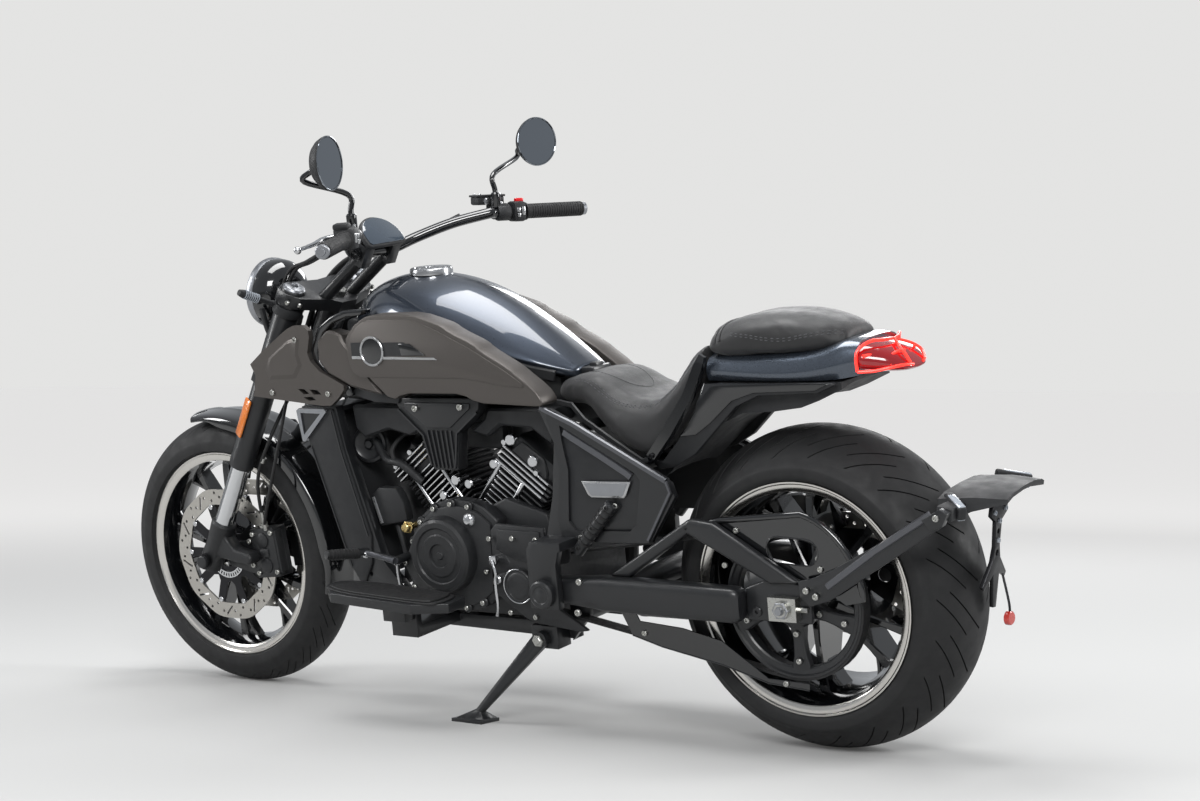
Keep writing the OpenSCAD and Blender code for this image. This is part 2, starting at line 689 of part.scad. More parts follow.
// outline of a belt round the two pulleys, d outside their pitch line
function belt_outline(d) =
    let (dx = sprocket_x, dz = sprocket_z - rear_z, long = norm([dx, dz]),
         tilt = atan2(dz, dx), open = acos((pulley_r - sprocket_r) / long))
    concat(
        [for (i = [0 : 24]) let (a = tilt + open + (360 - 2 * open) * i / 24)
            [(pulley_r + d) * cos(a), rear_z + (pulley_r + d) * sin(a)]],
        [for (i = [0 : 12]) let (a = tilt - open + 2 * open * i / 12)
            [dx + (sprocket_r + d) * cos(a), sprocket_z + (sprocket_r + d) * sin(a)]]);

module drive_belt() {
    parked() color(rubber_black) difference() {
        slab(belt_outline(belt_t), belt_y, belt_y + belt_w);
        slab(belt_outline(0.4), belt_y - 1, belt_y + belt_w + 1);
    }
}

module belt_guards() {
    guard_in = arm_y - fit - 3;
    guard_out = arm_y - fit;
    parked() color(matt_black) in_arm() union() {
        difference() {
            slab(concat([[206, 148], [150, 160]], [for (a = [78 : -9 : 6])
                [(pulley_r + 34) * cos(180 - a) * 0.86, (pulley_r + 34) * sin(a)]],
                [[-120, 10], [-60, 46], [-34, 52], [40, 60]]), guard_in, guard_out);
            hull() {
                cross_bar(-40, 106, 26, guard_in - 1, guard_out + 1);
                cross_bar(20, 108, 26, guard_in - 1, guard_out + 1);
            }
        }
        slab([[-30, -166], [60, -160], [160, -134], [300, -110], [370, -92], [404, -28],
              [366, -28], [350, -60], [250, -66], [160, -84], [60, -150], [-30, -152]],
             guard_in, guard_out);
    }
}

module rear_caliper() {
    in_y = -(rear_hub_half + rear_disc_t);
    parked() color(satin_black) translate([0, 0, rear_z]) difference() {
        union() {
            slab([[-24, 0], [-20, -24], [20, -24], [24, 0], [70, 110], [20, 120]], in_y - 22, in_y - 14);
            rotate([0, 28, 0]) translate([-42, in_y - 22, 92]) cube([84, 44, 62]);
        }
        cross_bar(0, 0, 20 + fit, in_y - 40, in_y);
        translate([0, in_y - 3, 0]) rotate([-90, 0, 0])
            cylinder(h = rear_disc_t + 6, r = rear_disc_r + 4, $fn = fine);
    }
}

module plate_arm() {
    near = arm_y + 14 + fit;
    parked() color(matt_black) in_arm() union() {
        slab([[-34, 56], [-36, 26], [-56, 8], [-100, 24], [-340, 180], [-352, 204], [-336, 212], [-110, 84],
              [-60, 62]], near, near + 11);
        slab([[-318, 172], [-340, 180], [-352, 204], [-336, 212], [-300, 190]], near + 10, near + 18);
    }
}

module plate_holder() {
    inner = arm_y + 14;
    far = tail_end_x;
    top_z = rear_z + 218;
    parked() color(matt_black) union() {
        slab([[-318, top_z - 30], [-350, top_z - 34], [-352, top_z - 10], [-322, top_z - 6]], -118, inner - fit);
        slab([[-352, top_z - 34], [-352, top_z - 10], [far + 14, top_z - 2], [far + 2, top_z - 12]], -70, 70);
        slab([[-366, top_z - 32], [-352, top_z - 34], [-358, top_z - 180], [-378, top_z - 250],
              [-386, top_z - 248], [-372, top_z - 170], [-384, top_z - 40]], -34, 34);
        both() slab([[-308, top_z + 2], [-366, top_z - 26], [-362, top_z - 36], [-304, top_z - 8]], 118, 150);
        slab([[-352, top_z - 170], [-398, top_z - 150], [-398, top_z - 160], [-356, top_z - 184]], -60, 60);
    }
}

// ---------- foot controls ----------

module board_shape(w, t) {
    linear_extrude(t) polygon([
        [0, 8], [10, 0], [board_l * 0.8, 0], [board_l, w * 0.3], [board_l - 6, w * 0.55],
        [board_l * 0.84, w], [board_l * 0.2, w], [0, w * 0.6]]);
}

module footboards() {
    rear_x = crank_x - 85;
    parked() color(satin_black) both() union() {
        translate([rear_x, board_in, 294]) rotate([0, -3, 0]) board_shape(board_w, 20);
        translate([crank_x + 44, board_in + 22, 262]) cube([60, 30, 40]);
        translate([crank_x + 44, board_in + 4, 280 + fit]) cube([60, 30, 18]);
    }
}

// side is 1 on the left and -1 on the right; face is where its boss meets the crankcase
module lever(side, face) {
    parked() color(satin_black) union() {
        rod([crank_x + 126, side * face, 372], [crank_x + 126, side * 204, 372], 9);
        rod([crank_x + 128, side * 198, 372], [crank_x + 200, side * 214, 388], 7);
        rod([crank_x + 200, side * 206, 388], [crank_x + 236, side * 300, 400], 9);
    }
}

module shift_lever() {
    lever(1, case_left + fit);
}

module brake_pedal() {
    lever(-1, case_right + fit);
}

module passenger_pegs() {
    inner = spar_out + fit;
    parked() color(matt_black) both() union() {
        slab([[pivot_x - 150, 512], [pivot_x - 166, 506], [pivot_x - 70, 430], [pivot_x - 52, 440]],
             inner, inner + 9);
        rod([pivot_x - 154, inner + 20, 512], [pivot_x - 62, inner + 20, 412], 13);
        rod([pivot_x - 110, inner + 5, 464], [pivot_x - 110, inner + 22, 464], 9);
    }
}

// ---------- steering ----------

module yoke(low, t, wide) {
    difference() {
        translate([0, 0, low]) linear_extrude(t) polygon([
            [-36, -26], [-20, -44], [fork_offset - 36, -fork_y - 14], [fork_offset - 10, -fork_y - wide],
            [fork_offset + 22, -fork_y - wide + 6], [fork_offset + 38, -fork_y + 6], [fork_offset + 26, 0],
            [fork_offset + 38, fork_y - 6], [fork_offset + 22, fork_y + wide - 6],
            [fork_offset - 10, fork_y + wide], [fork_offset - 36, fork_y + 14], [-20, 44], [-36, 26]]);
        for (s = [-1, 1])
            translate([fork_offset, s * fork_y, low - 1]) cylinder(h = t + 2, r = fork_tube_r + slip, $fn = fine);
    }
}

module fork_yokes() {
    head() color(matt_black) union() {
        yoke(yoke_low, yoke_low_t, 34);
        yoke(yoke_top, yoke_top_t, 34);
        translate([0, 0, yoke_low]) cylinder(h = yoke_top + yoke_top_t + 8 - yoke_low, r = stem_r, $fn = fine);
        both() rod([riser_foot, 45, yoke_top + 4], [riser_back, 45, riser_top - bar_r - 3], 15);
        both() difference() {
            translate([riser_back - 21, 31, riser_top - bar_r - 12]) cube([42, 28, 2 * bar_r + 22]);
            translate([riser_back, 20, riser_top]) rotate([-90, 0, 0])
                cylinder(h = 60, r = bar_r + slip, $fn = fine);
        }
    }
}

module fork_legs() {
    head() color(matt_black) both() translate([fork_offset, fork_y, 0]) difference() {
        union() {
            translate([0, 0, slider_top]) cylinder(h = fork_top - slider_top, r = fork_tube_r, $fn = fine);
            translate([0, 0, slider_low - 20]) cylinder(h = slider_top - slider_low + 30, r = fork_slider_r, $fn = fine);
            translate([0, 0, axle_up - 26]) cylinder(h = slider_low - axle_up + 26, r = 25, $fn = fine);
        }
        translate([0, -60, axle_up]) rotate([-90, 0, 0]) cylinder(h = 120, r = front_axle_r + slip, $fn = fine);
    }
}

module front_axle() {
    parked() color(steel_grey) union() {
        cross_bar(front_x, front_z, front_axle_r, -fork_y - 34, fork_y + 34);
        both() cross_bar(front_x, front_z, 18, front_hub_half + disc_t + 1, fork_y - 25 - fit);
        both() cross_bar(front_x, front_z, 19, fork_y + 25 + fit, fork_y + 33);
    }
}

module fender_sector(r, y0, y1, a0, a1) {
    translate([front_x, 0, front_z]) rotate([-90, 0, 0]) rotate([0, 0, -a1])
        rotate_extrude(angle = a1 - a0, $fn = 96) translate([r, y0]) square([4, y1 - y0]);
}

module front_fender() {
    clear_r = front_tyre_r + 14;
    half = front_tyre_w / 2 + 8.5;
    parked() color(gloss_black) union() {
        fender_sector(clear_r, -half, half, 78, 194);
        both() translate([front_x, half, front_z]) rotate([-90, 0, 0]) rotate([0, 0, -190])
            rotate_extrude(angle = 108, $fn = 96) translate([clear_r - 30, -3]) square([34, 3]);
        both() slab([[front_x - 70, front_z + 212], [front_x - 120, front_z + 190], [front_x - 150, front_z + 284],
                     [front_x - 96, front_z + 306]], half - 3, fork_y - fork_tube_r - fit);
    }
}

module headlamp() {
    lamp = [fork_offset + 134, yoke_low + 146];
    back = fork_offset + 26 + 12 * 18 / (fork_y - 6) + fit;
    head() color(gloss_black) union() {
        translate([lamp[0], 0, lamp[1]]) rotate([0, 90 + rake - 6, 0]) translate([0, 0, -66])
            cylinder(h = 30, r1 = 48, r2 = 74, $fn = fine);
        translate([lamp[0], 0, lamp[1]]) rotate([0, 90 + rake - 6, 0]) translate([0, 0, -36])
            cylinder(h = 52, r = 80, $fn = fine);
        translate([back, -18, yoke_low + 4]) cube([26, 36, 120]);
        translate([back, -18, yoke_low + 104]) cube([70, 36, 30]);
    }
}

module handlebar() {
    bends = smooth([[clamp_x, 40, clamp_z], [clamp_x - 5, 78, clamp_z + 3], [clamp_x - 30, 116, clamp_z + 18],
                    [clamp_x - 88, 172, grip_height - 6], grip_in - [6, -8, 0]], 3);
    parked() color(gloss_black) union() {
        cross_bar(clamp_x, clamp_z, bar_r, -64, 64);
        both() bent_tube(bends, bar_tube_r, 10);
        both() rod(grip_in, grip_out, bar_tube_r);
    }
}

// the bar end's own frame: Z runs out along the grip, -X is up and -Y is ahead
module on_bar() {
    d = grip_out - grip_in;
    parked() translate(grip_in) rotate([0, acos(d[2] / norm(d)), atan2(d[1], d[0])]) children();
}

module on_right_bar() {
    d = grip_out - grip_in;
    parked() mirror([0, 1, 0]) translate(grip_in)
        rotate([0, acos(d[2] / norm(d)), atan2(d[1], d[0])]) children();
}

// housing, lever, perch and grip of one bar end
module bar_end_set() {
    long = norm(grip_out - grip_in);
    difference() {
        union() {
            translate([0, 0, 46]) cylinder(h = 34, r = 23, $fn = fine);
            translate([-20, -36, 14]) cube([34, 40, 24]);
            translate([0, 0, 82]) cylinder(h = long - 82, r = 16.5, $fn = fine);
            translate([0, 0, long + fit]) cylinder(h = 13, r = 15, $fn = fine);
            translate([0, 0, 14]) cylinder(h = 24, r = 19, $fn = fine);
        }
        translate([0, 0, -20]) cylinder(h = long + 20, r = bar_tube_r + slip, $fn = fine);
    }
    translate([-7, 0, 0]) rotate([90, 0, 90]) linear_extrude(11) polygon([
        [-36.3, 16], [-50, 14], [-66, 40], [-62, 110], [-70, 190], [-60, 196], [-50, 120], [-50, 52],
        [-36.3, 36]]);
}

module left_controls() {
    color(matt_black) on_bar() union() {
        bar_end_set();
        translate([-34, -24, 50]) cube([14, 34, 28]);
    }
}

module right_controls() {
    color(matt_black) on_right_bar() union() {
        bar_end_set();
        translate([-36, -54, -26]) cube([18, 40, 66]);
        translate([-30, -10, 54]) cube([10, 20, 22]);
    }
}

module dash() {
    parked() color(gloss_black) translate([clamp_x - 8, 0, clamp_z + 40]) rotate([0, -52, 0]) union() {
        translate([-44, -64, 0]) cube([80, 128, 16]);
        translate([-12, -28, -16]) cube([28, 56, 17]);
    }
}

// a mirror head: back cone and rim, turned towards the rider
module mirror_head(spot, turn) {
    translate(spot) rotate([0, 0, turn]) rotate([0, -90, 0]) translate([0, 0, -62]) union() {
        cylinder(h = 50, r1 = 12, r2 = mirror_r - 3, $fn = fine);
        translate([0, 0, 50]) cylinder(h = 12, r = mirror_r, $fn = fine);
    }
}

module mirrors() {
    foot = grip_in + [-5, 11, 19.6];
    left = [clamp_x - 183, 320, grip_height + 162];
    right = [clamp_x - 180, 398, grip_height + 156];
    parked() color(matt_black) union() {
        bent_tube(smooth([foot, foot + [2, 2, 66], left + [72, 6, -22], left + [56, -4, 0]], 3), 6, 8);
        mirror_head(left, 14);
        mirror([0, 1, 0]) {
            bent_tube(smooth([foot, foot + [2, 2, 66], right + [72, 6, -22], right + [56, -4, 0]], 3), 6, 8);
            mirror_head(right, 16);
        }
    }
}

module front_indicators() {
    head() color(matt_black) both() union() {
        difference() {
            union() {
                translate([fork_offset, fork_y, yoke_top - 30]) cylinder(h = 24, r = fork_tube_r + 6, $fn = fine);
                rod([fork_offset + 26, fork_y + 16, yoke_top - 18],
                    [fork_offset + 62, fork_y + 104, yoke_top + 6], 9);
            }
            translate([fork_offset, fork_y, yoke_top - 60]) cylinder(h = 100, r = fork_tube_r + slip, $fn = fine);
        }
    }
}

module front_calipers() {
    parked() color(satin_black) translate([front_x, 0, front_z]) both() difference() {
        union() {
            rotate([0, 6, 0]) translate([-184, front_hub_half - 16, -58]) cube([72, fork_y - front_hub_half - 6, 116]);
            slab([[-116, -40], [-116, 44], [-30, 34], [-22, 20], [-24, -20]], fork_y - 36, fork_y - 25 - fit);
        }
        translate([0, disc_y - 2.5, 0]) rotate([-90, 0, 0])
            cylinder(h = disc_t + 5, r = front_disc_r + 4, $fn = 96);
    }
}

module hoses_and_cables() {
    splitter = yoke_low - 24;
    leg_side = smooth([[-64, fork_y - 22, axle_up + 145], [-40, fork_y - 8, axle_up + 190],
                       [-14, fork_y, axle_up + 262], [-14, fork_y, axle_up + 350],
                       [-2, fork_y - 34, splitter - 24], [16, 34, splitter - 2], [18, 13, splitter]], 2);
    feed = smooth([[30, -8, splitter], [56, -28, splitter - 8], [86, -44, splitter + 20], [97, -54, splitter + 100],
                   [94, -64, yoke_top - 30], [72, -84, yoke_top + 60], [10, -116, yoke_top + 120],
                   [-60, -160, yoke_top + 190], [-118, -206, yoke_top + 252]], 2);
    loom = smooth([[97, 60, yoke_low + 20], [96, 60, yoke_top - 40], [72, 84, yoke_top + 60],
                   [10, 116, yoke_top + 120], [-60, 160, yoke_top + 190], [-110, 206, yoke_top + 256]], 2);
    head() color(rubber_black) union() {
        translate([8, -12, splitter - 8]) cube([24, 24, 32 - fit]);
        both() bent_tube(leg_side, 4, 8);
        bent_tube(feed, 4, 8);
        bent_tube(loom, 6, 8);
    }
}

// ---------- wheels ----------

module front_tyre() {
    parked() color(rubber_black) wheel_turned(front_x, front_z)
        tyre(front_tyre_r, front_tyre_w, crown_front, front_flange_r, front_rim_half);
}

module front_rim() {
    parked() color(gloss_black) wheel_turned(front_x, front_z)
        spoked_rim(front_flange_r, front_rim_half, front_hub_half, front_axle_r + slip, 15);
}

module front_discs() {
    parked() color(steel_grey) both() translate([front_x, disc_y, front_z]) rotate([-90, 0, 0]) difference() {
        cylinder(h = disc_t, r = front_disc_r, $fn = 96);
        translate([0, 0, -1]) cylinder(h = disc_t + 2, r = 24, $fn = fine);
    }
}

module rear_tyre() {
    parked() color(rubber_black) wheel_turned(0, rear_z)
        tyre(rear_tyre_r, rear_tyre_w, crown_rear, rear_flange_r, rear_rim_half);
}

module rear_rim() {
    parked() color(gloss_black) wheel_turned(0, rear_z)
        spoked_rim(rear_flange_r, rear_rim_half, rear_hub_half, rear_axle_r + slip, 26, 50);
}

module rear_pulley() {
    parked() color(matt_black) translate([0, 0, rear_z]) rotate([-90, 0, 0]) difference() {
        union() {
            translate([0, 0, rear_hub_half]) cylinder(h = belt_y + belt_w - rear_hub_half, r = 48, $fn = fine);
            translate([0, 0, belt_y]) difference() {
                cylinder(h = belt_w, r = pulley_r, $fn = 96);
                translate([0, 0, -1]) cylinder(h = belt_w + 2, r = pulley_r - 18, $fn = 96);
            }
            for (k = [0 : 4])
                rotate([0, 0, 72 * k + 20]) translate([40, -13, belt_y + 4]) cube([pulley_r - 50, 26, belt_w - 8]);
        }
        translate([0, 0, rear_hub_half - 1]) cylinder(h = 200, r = rear_axle_r + slip, $fn = fine);
    }
}

module rear_disc() {
    parked() color(steel_grey) translate([0, -rear_hub_half - rear_disc_t, rear_z]) rotate([-90, 0, 0]) difference() {
        cylinder(h = rear_disc_t, r = rear_disc_r, $fn = 96);
        translate([0, 0, -1]) cylinder(h = rear_disc_t + 2, r = 24, $fn = fine);
    }
}

// ---------- side stand ----------

stand_x = pivot_x + 70;
stand_y = 166;
stand_z = 214;

module side_stand() {
    foot_x = stand_x + 176;
    parked() color(matt_black) difference() {
        union() {
            hull() {
                cross_bar(stand_x, stand_z, 17, stand_y - 8.7, stand_y + 8.7);
                translate([foot_x - 14, stand_reach - 2, 50]) sphere(r = 9, $fn = 24);
            }
            hull() {
                translate([foot_x - 14, stand_reach - 2, 50]) sphere(r = 9, $fn = 24);
                rotate([lean, 0, 0]) translate([foot_x - 40, stand_reach * cos(lean) - 22, -lift]) cube([70, 48, 9]);
            }
            rotate([lean, 0, 0]) translate([foot_x - 40, stand_reach * cos(lean) - 30, -lift]) cube([80, 62, 7]);
        }
        cross_bar(stand_x, stand_z, stand_bolt_r + slip, stand_y - 20, stand_y + 20);
    }
}

backbone();
side_plates();
down_frame();
radiator();
lower_cradle();
engine_block();
engine_covers();
front_cylinder();
rear_cylinder();
air_cover();
exhaust();
fuel_tank();
tank_panels();
head_shrouds();
rider_seat();
pillion_seat();
tail_cowl();
tail_lamp();
tail_sides();
rear_mudguard();
swingarm();
rear_axle();
drive_belt();
belt_guards();
rear_caliper();
plate_arm();
plate_holder();
footboards();
shift_lever();
brake_pedal();
passenger_pegs();
fork_yokes();
fork_legs();
front_axle();
front_fender();
headlamp();
handlebar();
left_controls();
right_controls();
dash();
mirrors();
front_indicators();
front_calipers();
hoses_and_cables();
front_tyre();
front_rim();
front_discs();
rear_tyre();
rear_rim();
rear_pulley();
rear_disc();
side_stand();
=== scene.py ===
"""Looks of a V-twin cruiser motorcycle on its side stand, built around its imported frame."""

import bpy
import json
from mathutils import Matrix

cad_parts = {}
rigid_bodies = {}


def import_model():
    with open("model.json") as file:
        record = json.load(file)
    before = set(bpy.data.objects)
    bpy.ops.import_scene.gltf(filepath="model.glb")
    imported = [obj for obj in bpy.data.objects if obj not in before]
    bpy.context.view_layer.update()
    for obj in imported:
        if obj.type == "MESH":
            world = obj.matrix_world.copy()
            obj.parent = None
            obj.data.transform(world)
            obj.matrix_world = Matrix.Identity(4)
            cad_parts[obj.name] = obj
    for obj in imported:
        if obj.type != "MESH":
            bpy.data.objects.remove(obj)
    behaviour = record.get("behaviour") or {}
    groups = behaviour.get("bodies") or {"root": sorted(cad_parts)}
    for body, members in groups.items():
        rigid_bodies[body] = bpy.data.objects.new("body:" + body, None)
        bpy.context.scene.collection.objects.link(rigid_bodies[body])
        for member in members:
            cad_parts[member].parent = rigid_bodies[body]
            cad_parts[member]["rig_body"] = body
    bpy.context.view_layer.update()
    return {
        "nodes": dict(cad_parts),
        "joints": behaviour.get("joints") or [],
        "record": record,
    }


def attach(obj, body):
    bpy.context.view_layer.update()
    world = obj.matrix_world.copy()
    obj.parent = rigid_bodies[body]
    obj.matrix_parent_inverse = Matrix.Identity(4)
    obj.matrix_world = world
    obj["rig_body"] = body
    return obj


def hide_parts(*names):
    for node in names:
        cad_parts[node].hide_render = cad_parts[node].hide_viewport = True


bl_info = {
    "name": "Cruiser motorcycle looks",
    "version": (1, 0, 0),
    "blender": (4, 5, 0),
    "location": "View3D > Sidebar > Cruiser",
    "description": "Adds the finished pieces of a cruiser motorcycle around its packed frame",
    "category": "Object",
}

import json
import math
import bmesh
import bpy
from mathutils import Matrix, Vector
from mathutils.bvhtree import BVHTree

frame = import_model()


# ---------- places ----------

# Pieces are drawn in millimetres with the machine upright: X ahead of the rear axle, Y to the
# rider's left, Z above the ground. UPRIGHT leans them onto the side stand, in metres.
JOINTS = {joint["name"]: joint for joint in frame["joints"]}
LEAN = -math.asin(JOINTS["rear_wheel_spin"]["axis"][2])
RAKE = -math.asin(JOINTS["steering"]["axis"][0])
REAR_Z = 324.0
LEANED = Matrix.Rotation(-LEAN, 4, "X") @ Matrix.Scale(0.001, 4)
UPRIGHT = (Matrix.Translation(JOINTS["rear_wheel_spin"]["pos_m"]) @ LEANED
           @ Matrix.Translation((0, 0, -REAR_Z)))
# the steering head's frame: Z up along the steering axis, X ahead of it
HEAD = (Matrix.Translation(JOINTS["steering"]["pos_m"]) @ Matrix.Rotation(-LEAN, 4, "X")
        @ Matrix.Rotation(-RAKE, 4, "Y") @ Matrix.Scale(0.001, 4))
FRONT_AXLE = UPRIGHT.inverted() @ Vector(JOINTS["front_wheel_spin"]["pos_m"])
REAR_AXLE = Vector((0, 0, REAR_Z))
# the radius and the half width of each rim at its flanges
FRONT_FLANGE, FRONT_HALF_RIM = 243.6, 54.5
REAR_FLANGE, REAR_HALF_RIM = 231, 118
AXLE_BORE = 12.56
ACROSS = Matrix.Rotation(math.radians(-90), 4, "X")
ARM = Matrix.Translation(REAR_AXLE) @ Matrix.Rotation(-math.atan2(8, 530), 4, "Y")


def wheel_place(axle):
    """A wheel's own frame: Z runs along its axle to the left."""
    return Matrix.Translation(axle) @ ACROSS


def facing(spot, direction):
    """A frame at spot with its Z along direction."""
    turn = Vector(direction).to_track_quat("Z", "Y").to_matrix().to_4x4()
    return Matrix.Translation(spot) @ turn


# ---------- materials ----------

FINISHES = {}


def linear(code):
    """An sRGB hex colour as a linear RGBA one."""
    parts = [int(code[i:i + 2], 16) / 255 for i in (1, 3, 5)]
    return tuple(c / 12.92 if c <= 0.04045 else ((c + 0.055) / 1.055) ** 2.4 for c in parts) + (1.0,)


def add(tree, kind, settings=None, inputs=None):
    """Adds a node with its settings, and its inputs as values or as other nodes' outputs."""
    made = tree.nodes.new(kind)
    for key, value in (settings or {}).items():
        setattr(made, key, value)
    for key, value in (inputs or {}).items():
        if isinstance(value, bpy.types.NodeSocket):
            tree.links.new(value, made.inputs[key])
        else:
            made.inputs[key].default_value = value
    return made


def start_material(name):
    """A new material with only its output node."""
    made = bpy.data.materials.new(name)
    made.use_nodes = True
    made.node_tree.nodes.clear()
    return made, made.node_tree


def surface(name, colour, metallic=0.0, roughness=0.5, coat=0.0, mottle=0.06, mottle_mm=45.0,
            grain_mm=0.0, depth_mm=0.0, cells=False, shader=None, stretch=(1, 1, 1)):
    """Makes a finish with mottled colour, uneven gloss and, if it has a grain, a bump of that size."""
    made, tree = start_material(name)
    where = add(tree, "ShaderNodeTexCoord")
    spot = add(tree, "ShaderNodeMapping", {}, {"Vector": where.outputs["Object"], "Scale": stretch})
    cloud = add(tree, "ShaderNodeTexNoise", {}, {
        "Vector": spot.outputs["Vector"], "Scale": 1000.0 / mottle_mm, "Detail": 4.0})
    base = linear(colour) if isinstance(colour, str) else tuple(colour)
    tint = add(tree, "ShaderNodeMix", {"data_type": "RGBA"}, {
        "Factor": cloud.outputs["Fac"],
        6: tuple(c * (1 - mottle) for c in base[:3]) + (1.0,),
        7: tuple(min(1.0, c * (1 + mottle)) for c in base[:3]) + (1.0,)})
    gloss = add(tree, "ShaderNodeMapRange", {}, {
        "Value": cloud.outputs["Fac"], "From Min": 0.3, "From Max": 0.7,
        "To Min": max(0.02, roughness * 0.85), "To Max": min(1.0, roughness * 1.15)})
    skin = add(tree, "ShaderNodeBsdfPrincipled", {}, {
        "Base Color": tint.outputs[2], "Metallic": metallic, "Roughness": gloss.outputs["Result"],
        "Coat Weight": coat, "Coat Roughness": 0.04, **(shader or {})})
    if grain_mm:
        if cells:
            grain = add(tree, "ShaderNodeTexVoronoi", {}, {
                "Vector": spot.outputs["Vector"], "Scale": 1000.0 / grain_mm})
            height = grain.outputs["Distance"]
        else:
            grain = add(tree, "ShaderNodeTexNoise", {}, {
                "Vector": spot.outputs["Vector"], "Scale": 1000.0 / grain_mm, "Detail": 3.0})
            height = grain.outputs["Fac"]
        bump = add(tree, "ShaderNodeBump", {}, {
            "Height": height, "Strength": 1.0, "Distance": depth_mm / 1000.0})
        tree.links.new(bump.outputs["Normal"], skin.inputs["Normal"])
    add(tree, "ShaderNodeOutputMaterial", {}, {"Surface": skin.outputs["BSDF"]})
    FINISHES[name] = made


def turned_metal(name, colour, axle, ring_mm, depth_mm, roughness):
    """Makes a metal turned on a lathe about an axle, with fine rings round it."""
    made, tree = start_material(name)
    where = add(tree, "ShaderNodeTexCoord")
    centre = UPRIGHT @ Vector(axle)
    spot = add(tree, "ShaderNodeMapping", {"vector_type": "TEXTURE"}, {
        "Vector": where.outputs["Object"], "Location": centre, "Rotation": (-LEAN, 0, 0)})
    rings = add(tree, "ShaderNodeTexWave", {"wave_type": "RINGS", "rings_direction": "Y"}, {
        "Vector": spot.outputs["Vector"], "Scale": 314.0 / ring_mm, "Distortion": 0.4})
    haze = add(tree, "ShaderNodeTexNoise", {}, {"Vector": spot.outputs["Vector"], "Scale": 20.0})
    gloss = add(tree, "ShaderNodeMapRange", {}, {
        "Value": haze.outputs["Fac"], "To Min": roughness * 0.7, "To Max": roughness * 1.3})
    bump = add(tree, "ShaderNodeBump", {}, {
        "Height": rings.outputs["Fac"], "Strength": 1.0, "Distance": depth_mm / 1000.0})
    skin = add(tree, "ShaderNodeBsdfPrincipled", {}, {
        "Base Color": linear(colour), "Metallic": 1.0, "Roughness": gloss.outputs["Result"],
        "Normal": bump.outputs["Normal"]})
    add(tree, "ShaderNodeOutputMaterial", {}, {"Surface": skin.outputs["BSDF"]})
    FINISHES[name] = made


